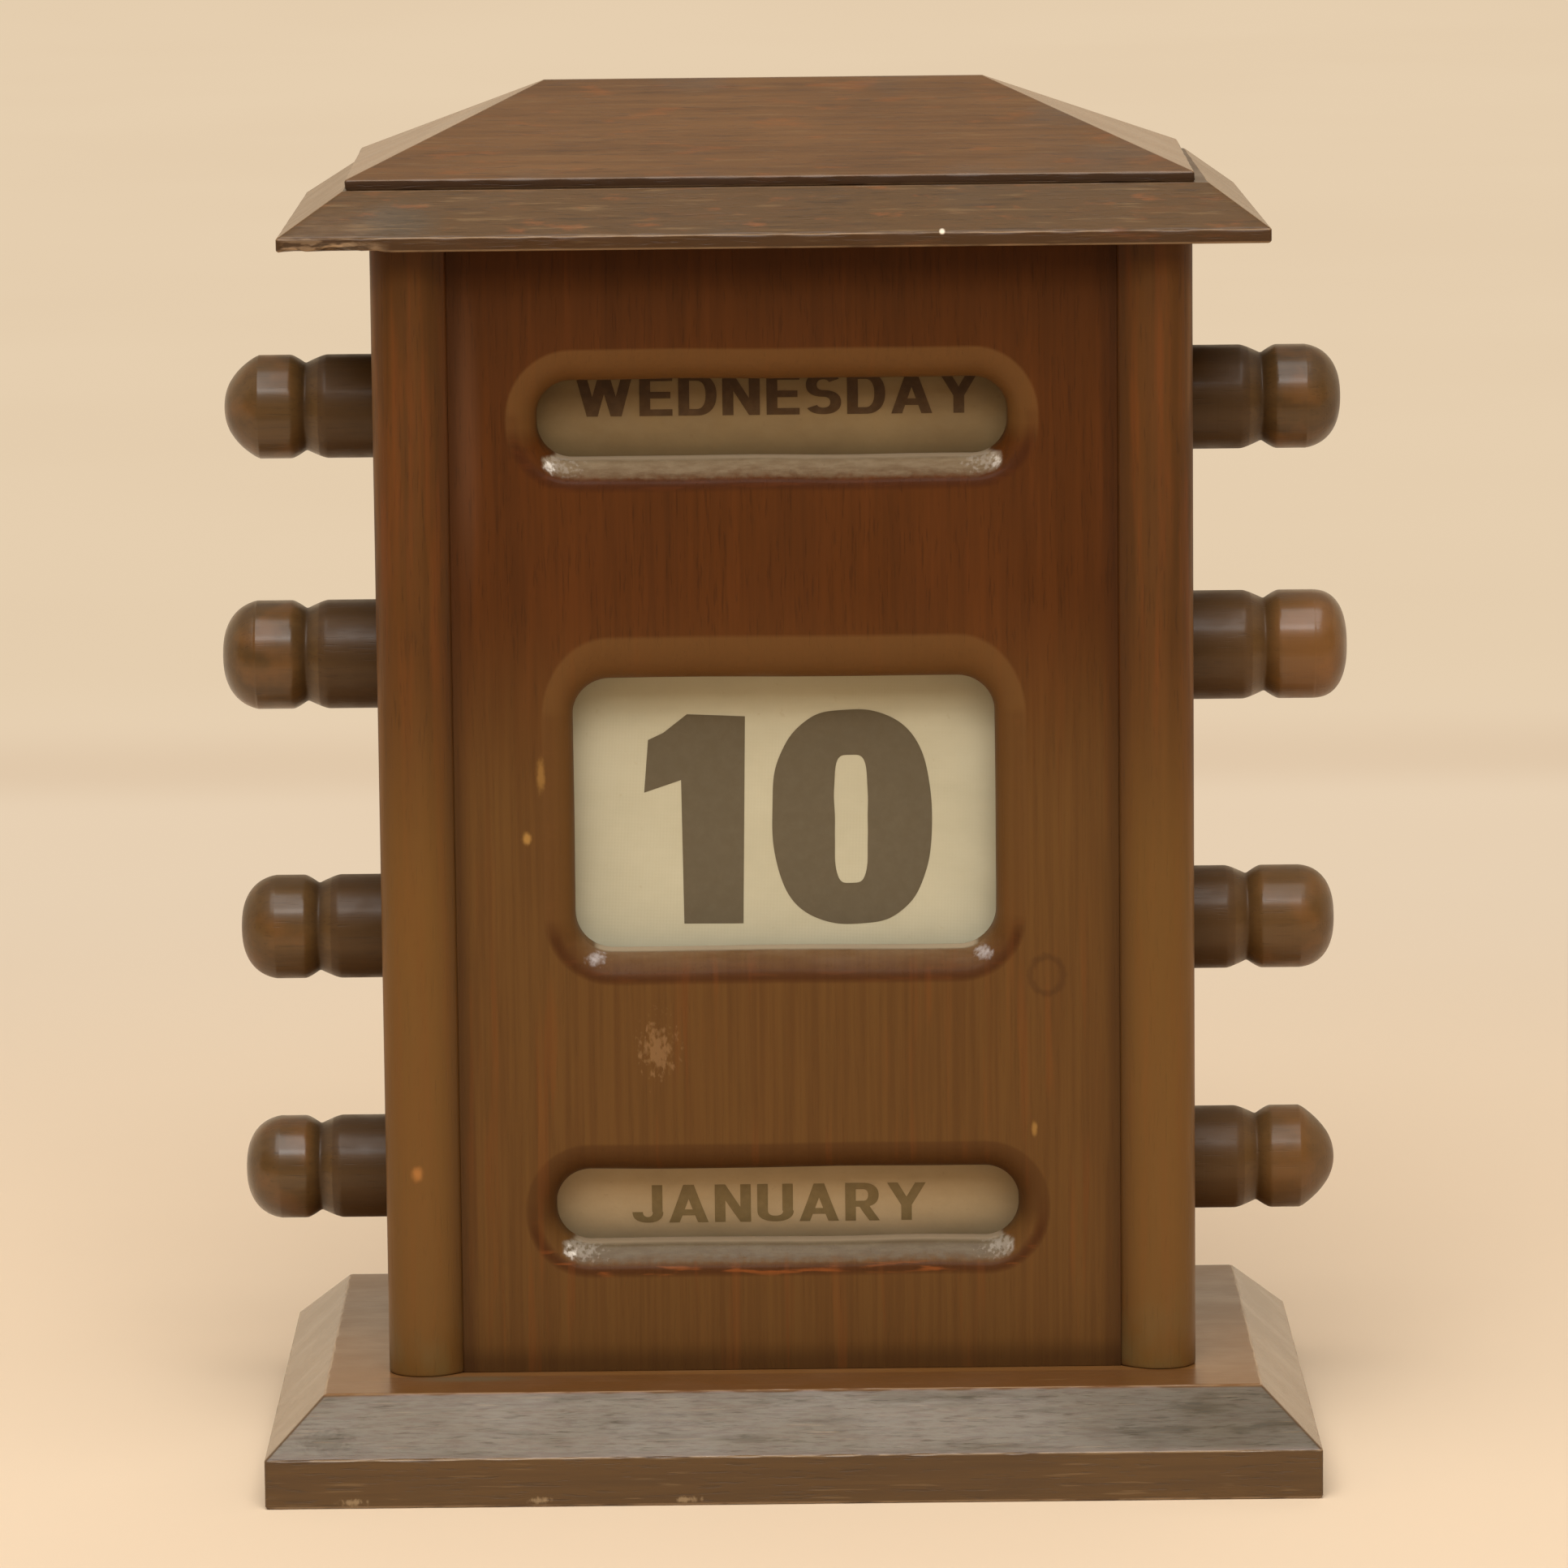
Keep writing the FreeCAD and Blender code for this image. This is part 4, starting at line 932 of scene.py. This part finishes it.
def make_front_panel():
    """The panel as three window rings, one above the other, with a small round all along its outer edge."""
    low, high = box_of("front_panel")
    small = panel_arris
    front, back = low[1], high[1]
    left, right, bottom, top = low[0] + small, high[0] - small, low[2] + small, high[2] - small
    order = ["month", "date", "day"]
    levels = [bottom, *panel_cuts, top]
    grids = []
    for index, name in enumerate(order):
        rows, values = window_ring(windows[name], sill_flatness[name], crown_wear[name], left, right,
                                   levels[index], levels[index + 1], front, back, index + 3)
        grids.append((rows, True, values))

    def side(ring, start, count):
        return grids[ring][0][0][start: start + count]

    counts = [upright_points(windows[name]) for name in order]
    first = level_points + corner_points
    loop = [side(0, 0, level_points)]
    loop += [side(ring, first, counts[ring]) for ring in (0, 1, 2)]
    loop += [side(2, first + counts[2] + corner_points, level_points)]
    loop += [side(ring, 2 * first + counts[ring] + corner_points, counts[ring]) for ring in (2, 1, 0)]
    loop = np.concatenate(loop)
    middle = np.array([(left + right) / 2, 0, (bottom + top) / 2])
    grow = np.array([small / ((right - left) / 2), 0, small / ((top - bottom) / 2)])
    rows = []
    for face, inwards, start, end in ((front, small, 0, 90), (back, -small, 90, 0)):
        for angle in np.radians(np.linspace(start, end, 5)):
            row = middle + (loop - middle) * (1 + grow * math.sin(angle))
            row[:, 1] = face + inwards * (1 - math.cos(angle))
            rows.append(row)
    grids.append((np.array(rows), True, {}))
    piece(grids_to_mesh("window_panel", grids), "panel_wood", "case", "front_panel")


# Knobs

def knob_profile(reach, radius, point, longer):
    """Radius along a knob from the board outwards. Collar and head run down to the neck by its depth times
    s ^ 1.3, with s the share of the slope. A longer head starts closer to the board. At a share t of the
    dome's length from its tip, the radius lies between the blunt (1 - (1 - t) ^ 2.5) ^ 0.4 and the pointed
    sqrt(t), by how pointed it is."""
    dome_start = reach - dome_length
    head_start = dome_start - head_length - longer
    neck_place = head_start - head_slope
    collar_end = neck_place - collar_slope
    body_x = np.arange(0.4, dome_start, 0.12)
    down = np.clip((body_x - collar_end) / collar_slope, 0, 1) * (body_x <= neck_place)
    rise = np.clip((head_start - body_x) / head_slope, 0, 1) * (body_x > neck_place)
    body_r = radius - neck_depth * (down + rise) ** 1.3
    tip = np.linspace(1, 0, 28) ** 1.6
    blunt_r = (1 - (1 - tip) ** 2.5) ** 0.4
    dome_r = radius * (blunt_r + point * (np.sqrt(tip) - blunt_r))
    x = np.concatenate([body_x, dome_start + dome_length * (1 - tip)])
    r = np.concatenate([body_r, dome_r])
    weights = np.array([1, 2, 3, 2, 1]) / 9
    r[2:-12] = np.convolve(r, weights, "valid")[:-10]
    face = np.radians(np.linspace(0, 90, 5))
    face_x = knob_face_round * (1 - np.cos(face))
    face_r = radius - knob_face_round * (1 - np.sin(face))
    x = np.concatenate([[knob_socket, knob_socket, 0, 0], face_x, x])
    r = np.concatenate([[0, rod_radius, rod_radius, radius - 1.2], face_r, r])
    at = np.clip(x, 0, reach)
    neck = np.exp(-((at - neck_place) / 0.75) ** 2)
    collar = (at < collar_end + 1).astype(float)
    head = np.clip((at - head_start + 1.2) / 1.2, 0, 1)
    return x, r, {"neck": neck, "collar": collar, "head": head}


def make_knob(roller, side, point, longer, seed):
    """A knob: its profile turned about the rod, not quite round, with its place taken from the solid."""
    node = f"{'left' if side < 0 else 'right'}_{roller}_knob"
    low, high = box_of(node)
    inner = high[0] if side < 0 else low[0]
    x, r, values = knob_profile(high[0] - low[0], (high[2] - low[2]) / 2, point, longer)
    angles = full_turn(96)
    chance = np.random.default_rng(seed)
    oval = 1 - 0.006 - 0.005 * np.sin(2 * angles + chance.uniform(0, 6)) - 0.001 * np.sin(5 * angles)
    spread = r[:, None] * np.where(r[:, None] > rod_radius + 0.1, oval, 1.0)
    skin = about_rod((inner + side * x)[:, None], spread, angles, roller)
    mesh = grids_to_mesh(node.replace("_knob", "_turned_knob"),
                         [(skin, True, {key: value[:, None] for key, value in values.items()})])
    piece(mesh, "knob_wood", f"{roller}_roller", node)


def make_knobs():
    """Four pairs of knobs, each turned by hand: how pointed its dome is, and how much longer than the rest
    its head is."""
    turned = {
        ("day", -1): (0.75, -0.5), ("day", 1): (0.3, -0.8),
        ("date_upper", -1): (0.35, -0.1), ("date_upper", 1): (0.05, -0.3),
        ("date_lower", -1): (0.3, -0.85), ("date_lower", 1): (0.2, 0.3),
        ("month", -1): (0.3, -1.2), ("month", 1): (0.9, -0.8),
    }
    for seed, ((roller, side), (point, longer)) in enumerate(turned.items()):
        make_knob(roller, side, point, longer, seed + 40)


# Printed labels

def make_label(roller):
    """A paper label round its drum: the outline of its section, a thin rectangle, turned about the rod.
    Gives its outer radius."""
    node = f"{roller}_label"
    low, high = box_of(node)
    outer = (high[2] - low[2]) / 2
    inner = outer - label_thickness
    x = np.concatenate([[low[0], low[0], low[0] + 0.3], np.linspace(low[0] + 1, high[0] - 1, 30),
                        [high[0] - 0.3, high[0], high[0], low[0]]])
    r = np.concatenate([[inner, outer - 0.05], np.full(32, outer), [outer - 0.05, inner, inner]])
    angles = full_turn(240)
    skin = about_rod(x[:, None], r[:, None], angles, roller)
    mesh = grids_to_mesh(f"{roller}_paper", [(skin, True, {})])
    piece(mesh, mesh.name, f"{roller}_roller", node)
    return outer


def stroke(start, end, across):
    """A straight stroke as its two edges: the line from start to end, and the same line moved across."""
    line = np.linspace(start, end, 13)
    return np.stack([line, line + np.array(across)])


def stem(x, foot=0.0, top=1.0):
    """An upright stroke with its left edge at x."""
    return stroke((x, foot), (x, top), (stem_width, 0))


def slant(foot_x, top_x, foot=0.0, top=1.0):
    """A sloping stroke with level ends and its left edge from foot_x to top_x."""
    return stroke((foot_x, foot), (top_x, top), (stem_width, 0))


def crossbar(start, end, foot):
    """A level stroke with its lower edge at foot."""
    return stroke((start, foot), (end, foot), (0, bar_width))


def arm(end, foot):
    """A crossbar from the right edge of a stem at 0."""
    return crossbar(stem_width, end, foot)


def bow(x, y, half_x, half_y, start, end):
    """A round stroke about (x, y) between two angles in degrees. Its outer edge is |u / a| ^ 2.3 + |v / b|
    ^ 2.3 = 1, and for its inner edge a and b are less by the widths of the strokes."""
    way = ways_at(np.radians(np.linspace(start, end, 33)))
    way /= (np.abs(way) ** 2.3).sum(-1, keepdims=True) ** (1 / 2.3)
    outer = way * (half_x, half_y)
    inner = way * (half_x - stem_width, half_y - bar_width)
    return np.stack([outer, inner]) + np.array((x, y))


def capitals():
    """Each capital that a day or month needs, as its width and its strokes, for a height of 1."""
    high, middle = 1 - bar_width, 0.42
    bowl = [stem(0), arm(0.37, high), arm(0.37, 0.38), bow(0.37, 0.69, 0.31, 0.31, -90, 90)]
    return {
        "A": (0.82, [slant(0, 0.295), slant(0.59, 0.295), crossbar(0.2, 0.62, 0.2)]),
        "B": (0.71, [stem(0), arm(0.38, high), arm(0.4, middle), arm(0.4, 0),
                     bow(0.38, 0.71, 0.3, 0.29, -90, 90), bow(0.4, 0.29, 0.31, 0.29, -90, 90)]),
        "C": (0.74, [bow(0.4, 0.5, 0.4, 0.5, 42, 318)]),
        "D": (0.75, [stem(0), arm(0.36, 0), arm(0.36, high), bow(0.36, 0.5, 0.39, 0.5, -90, 90)]),
        "E": (0.65, [stem(0), arm(0.65, 0), arm(0.61, middle), arm(0.65, high)]),
        "F": (0.6, [stem(0), arm(0.56, middle), arm(0.6, high)]),
        "G": (0.8, [bow(0.4, 0.5, 0.4, 0.5, 42, 325), crossbar(0.42, 0.6, 0.36), stem(0.57, 0, 0.52)]),
        "H": (0.74, [stem(0), stem(0.51), arm(0.51, middle)]),
        "I": (0.23, [stem(0)]),
        "J": (0.63, [stem(0.4, 0.3, 1), bow(0.315, 0.3, 0.315, 0.3, 180, 360)]),
        "L": (0.6, [stem(0), arm(0.6, 0)]),
        "M": (0.9, [stem(0), stem(0.67), slant(0.335, 0.02), slant(0.335, 0.65)]),
        "N": (0.75, [stem(0), stem(0.52), slant(0.52, 0)]),
        "O": (0.82, [bow(0.41, 0.5, 0.41, 0.5, 0, 360)]),
        "P": (0.68, bowl),
        "R": (0.74, [*bowl, slant(0.49, 0.27, 0, 0.42)]),
        "S": (0.7, [bow(0.35, 0.71, 0.34, 0.29, 28, 270), bow(0.35, 0.29, 0.35, 0.29, -152, 90)]),
        "T": (0.67, [stem(0.22), crossbar(0, 0.67, high)]),
        "U": (0.74, [stem(0, 0.3), stem(0.51, 0.3), bow(0.37, 0.3, 0.37, 0.3, 180, 360)]),
        "V": (0.8, [slant(0.285, 0), slant(0.285, 0.57)]),
        "W": (1.14, [slant(0.22, 0), slant(0.22, 0.455), slant(0.69, 0.455), slant(0.69, 0.91)]),
        "Y": (0.8, [slant(0.285, 0, 0.42), slant(0.285, 0.57, 0.42), stem(0.285, 0, 0.44)]),
    }


def flat_word(word, letters):
    """A word's strokes about its middle, each with its edges in the order that faces it forwards, and its
    width."""
    width = sum(letters[letter][0] for letter in word) + letter_gap * (len(word) - 1)
    place, strokes = -width / 2, []
    for letter in word:
        for edges in letters[letter][1]:
            along, across = edges[0, 1] - edges[0, 0], edges[1, 0] - edges[0, 0]
            forwards = along[0] * across[1] - along[1] * across[0] > 0
            strokes.append((edges if forwards else edges[:, ::-1]) + np.array((place, 0)))
        place += letters[letter][0] + letter_gap
    return strokes, width


def words_on_drum(roller, words, capital, width, baseline, shift):
    """Words round a drum, each one step further down, the first as wide as given. A letter's x stays, and
    its height above the baseline becomes an arc about the rod: y = -R * cos(a) and z = rod + R * sin(a),
    with a the height over R. Strokes that cross lie a few thousandths apart."""
    letters = capitals()
    radius = make_label(roller) + print_gap
    stretch = width / flat_word(words[0], letters)[1]
    grids = []
    for index, word in enumerate(words):
        for layer, flat in enumerate(flat_word(word, letters)[0]):
            turned = (baseline + flat[..., 1] * capital) / radius - 2 * math.pi * index / len(words)
            out = radius + layer % 5 * 0.006
            grids.append((about_rod(shift + flat[..., 0] * stretch, out, turned, roller), False, {}))
    mesh = grids_to_mesh(f"{roller}_names", grids, closed=False)
    piece(mesh, f"{roller}_ink", f"{roller}_roller", slot=f"{roller}_paper")


def make_drums():
    """The labels of both drums, and the names on them with Wednesday and January in front."""
    days = ["WEDNESDAY", "THURSDAY", "FRIDAY", "SATURDAY", "SUNDAY", "MONDAY", "TUESDAY"]
    words_on_drum("day", days, capital=5.0, width=48.7, baseline=0.13, shift=-0.6)
    months = ["JANUARY", "FEBRUARY", "MARCH", "APRIL", "MAY", "JUNE", "JULY", "AUGUST", "SEPTEMBER",
              "OCTOBER", "NOVEMBER", "DECEMBER"]
    words_on_drum("month", months, capital=4.9, width=36.0, baseline=-4.65, shift=-1.4)


# The date

def make_strip():
    """The printed strip: straight between its two rolls and on round a part of each. Both arcs leave the
    line at the angle whose sine is the radii's difference over the rods' distance, and y = -r * cos(a) and
    z = rod + r * sin(a) on them. The section is the front edge, then the back edge the other way."""
    low, high = box_of("date_web")
    lean = math.asin((strip_lower - strip_upper) / (rod_heights["date_upper"] - rod_heights["date_lower"]))
    angles = np.concatenate([np.linspace(-strip_turn, lean, 40), np.linspace(lean, strip_turn, 40)])
    radius = np.repeat([strip_lower, strip_upper], 40)
    rod = np.repeat([rod_heights["date_lower"], rod_heights["date_upper"]], 40)

    def edge(depth):
        return joined(-(radius - depth) * np.cos(angles), rod + (radius - depth) * np.sin(angles))

    loop = np.concatenate([edge(0), edge(strip_thickness)[::-1]])
    middle = np.concatenate([edge(strip_thickness / 2), edge(strip_thickness / 2)[::-1]])
    places = np.array([low[0], *np.linspace(low[0], high[0], 40), high[0]])
    section = np.stack([middle, *[loop] * 40, middle])
    skin = joined(places[:, None], section[..., 0], section[..., 1])
    piece(grids_to_mesh("date_strip", [(skin, True, {})]), "date_linen", "case", "date_web")


def on_web(flat):
    """Points of the date's plane, across and up, on the leaning front of the strip and a touch in front of
    it."""
    share = (flat[:, 1] - web_foot[0]) / (web_head[0] - web_foot[0])
    depth = web_foot[1] + share * (web_head[1] - web_foot[1]) - print_gap
    return joined(flat[:, 0], depth, flat[:, 1])


def make_date():
    """The figures one and nought of the tenth. The one is a cut-out with eight corners. The nought lies
    between two closed curves |x / a| ^ n + |z / b| ^ n = 1, rounder outside than inside."""
    one = np.array([(-12.0, 91.95), (-4.95, 91.62), (-5.4, 66.25), (-12.6, 66.3), (-12.8, 83.9),
                    (-17.3, 82.4), (-16.75, 88.85), (-14.9, 89.7)])
    mesh = bpy.data.meshes.new("figure_one")
    mesh.from_pydata(on_web(one) * MM, [], [list(range(len(one)))[::-1]])
    piece(mesh, "date_ink", "case", slot="date_linen")
    angles = full_turn(180)
    rows = []
    for half_x, half_z, power, across, up in ((2.02, 7.86, 4.5, 7.8, 78.9), (9.72, 13.13, 2.55, 7.9, 79.2)):
        length = (np.abs(np.cos(angles)) ** power + np.abs(np.sin(angles)) ** power) ** (-1 / power)
        flat = joined(across + half_x * length * np.cos(angles), up + half_z * length * np.sin(angles))
        wave = ripple(joined(flat[:, 0], flat[:, 1], 0), 6.0, int(half_z)) * 0.07
        flat += wave[:, None] * ways_at(angles)
        rows.append(on_web(flat))
    mesh = bpy.data.meshes.new("figure_nought")
    mesh.from_pydata(np.concatenate(rows) * MM, [], grid_faces(2, 180, 0, True)[:, ::-1])
    piece(mesh, "date_ink", "case", slot="date_linen")


# Solids that keep their shape

def finish_solids():
    """Each solid that isn't replaced gets its finish."""
    chosen = {"date_upper_roll": "date_linen", "date_lower_roll": "date_linen",
              "back_screws": "brass", "base_screws": "steel", "roof_pins": "steel"}
    for name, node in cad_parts.items():
        if node.hide_render:
            continue
        finish = finishes[chosen.get(name, "roller_wood")]
        node.data.materials.clear()
        node.data.materials.append(finish)


# Stage, light and camera

def stage_finish():
    """Pale beige paper with a faint painted shade line across the floor, as where a floor meets a wall. Near
    the object it is lit and takes its shadow. Far off it looks its own colour to the camera and in
    reflections, apart from the dim part of the room behind the camera, which is dark in reflections."""
    finish = Finish("pale_stage")
    cloud = finish.noise(finish.spread((260, 260, 260)), 3.0)
    ahead = finish.along("y")
    finish.shade = finish.mix(finish.fade(ahead, 480, 640), (232, 209, 180), (230, 207, 176))
    # A painted shade line across the floor, as where a floor meets a wall.
    line = finish.fade(ahead, 470, 515) * finish.fade(ahead, 580, 520)
    finish.stain((214, 186, 154), line, 0.35)
    finish.stain((216, 190, 158), finish.fade(cloud, 0.3, 0.7, 0, 0.14))
    rough = finish.fade(cloud, 0.3, 0.7, 0.8, 0.9)
    finish.done(rough, gloss=0.1)
    far = finish.value("VectorMath", {0: finish.spread((1, 1, 1))}, "Value", operation="LENGTH")
    rays = finish.node("LightPath", {}).outputs
    dim = finish.math("MULTIPLY", rays["Is Glossy Ray"], finish.fade(ahead, -150, -420))
    glow = finish.node("Emission", {"Color": finish.mix(dim, finish.shade, (38, 26, 18)), "Strength": 1.0})
    seen = finish.math("MAXIMUM", rays["Is Camera Ray"], rays["Is Glossy Ray"])
    both = finish.node("MixShader", {0: seen * finish.fade(far, 130, 420),
                                     1: finish.shader.outputs["BSDF"], 2: glow.outputs["Emission"]})
    finish.give(finish.tree.nodes["Material Output"].inputs["Surface"], both.outputs["Shader"])
    return finish.material


def make_stage():
    """Floor and backdrop in one: a profile that runs out flat, turns up in a wide curve and rises, turned
    about the upright axis."""
    out = np.concatenate([np.linspace(0, 2300, 60), 2300 + 500 * np.sin(np.linspace(0, math.pi / 2, 14)[1:]),
                          [2800, 2800, 2800]])
    up = np.concatenate([np.zeros(60), 500 * (1 - np.cos(np.linspace(0, math.pi / 2, 14)[1:])),
                         [900, 1300, 1700]])
    angles = full_turn(96)
    skin = joined(out[:, None] * np.cos(angles), out[:, None] * np.sin(angles), up[:, None])
    mesh = grids_to_mesh("pale_stage", [(skin, True, {})])
    item = new_object("pale_stage", mesh)
    mesh.materials.append(stage_finish())


def lamp(name, place, aim, size_x, size_y, power, tint, mirrored=True):
    """A soft rectangular lamp that points at a place and may show in reflections. Sizes are in metres."""
    light = bpy.data.lights.new(name, "AREA")
    light.shape = "RECTANGLE"
    light.size, light.size_y, light.energy, light.color = size_x, size_y, power, tint
    item = new_object(name, light)
    way = Vector(aim) - Vector(place)
    item.matrix_world = Matrix.Translation(place) @ way.to_track_quat("-Z", "Y").to_matrix().to_4x4()
    item.visible_camera = False
    item.visible_glossy = mirrored


def make_light():
    """A broad lamp above and in front, a thin bright one along its lower edge, a soft one far out in front,
    a weak one behind, and a faint even light from all round."""
    lamp("ceiling_light", (-0.1, -0.75, 1.72), (0, 0, 0.08), 1.7, 1.64, 27.0, (1.0, 0.99, 0.97))
    lamp("window_light", (-0.1, -1.32, 1.3), (0, 0, 0.08), 1.1, 0.3, 5.0, (1.0, 0.99, 0.97))
    lamp("front_light", (0.0, -1.82, 1.3), (0, 0, 0.08), 1.8, 0.65, 16.5, (1.0, 0.985, 0.96), mirrored=False)
    lamp("rear_light", (0.3, 1.3, 1.5), (0, 0, 0.1), 0.9, 0.7, 3.0, (1.0, 0.97, 0.93), mirrored=False)
    world = bpy.data.worlds.new("room")
    world.use_nodes = True
    shader = world.node_tree.nodes["Background"]
    shader.inputs["Color"].default_value = (1.0, 0.965, 0.92, 1.0)
    shader.inputs["Strength"].default_value = 0.28
    bpy.context.scene.world = world


def make_camera():
    """The photo's view: place, three turns and focal length, in steps of which the frame is 1932 wide,
    found from the object's own corners."""
    focal_length, frame_width = 10606.8, 1932
    pitch, roll, yaw = math.radians(9.3278), math.radians(-0.6073), math.radians(0.0458)
    ahead = np.array([math.sin(yaw) * math.cos(pitch), math.cos(yaw) * math.cos(pitch), -math.sin(pitch)])
    right = np.array([math.cos(yaw), -math.sin(yaw), 0.0])
    up = np.cross(right, ahead)
    turned_right = right * math.cos(roll) + up * math.sin(roll)
    turned_up = up * math.cos(roll) - right * math.sin(roll)
    view = bpy.data.cameras.new("photo_view")
    view.sensor_width = 36.0
    view.lens = focal_length * view.sensor_width / frame_width
    view.clip_start, view.clip_end = 0.05, 20.0
    item = bpy.data.objects.new("photo_view", view)
    bpy.context.scene.collection.objects.link(item)
    place = Matrix.Identity(4)
    for column, axis in enumerate((turned_right, turned_up, -ahead)):
        for row in range(3):
            place[row][column] = axis[row]
    place.translation = Vector((-0.001122, -1.045656, 0.252763))
    item.matrix_world = place
    bpy.context.scene.camera = item


make_finishes()
make_blocks()
make_boards()
make_front_panel()
make_knobs()
make_drums()
make_strip()
make_date()
finish_solids()
make_stage()
make_light()
make_camera()
bpy.context.scene.view_settings.view_transform = "Standard"
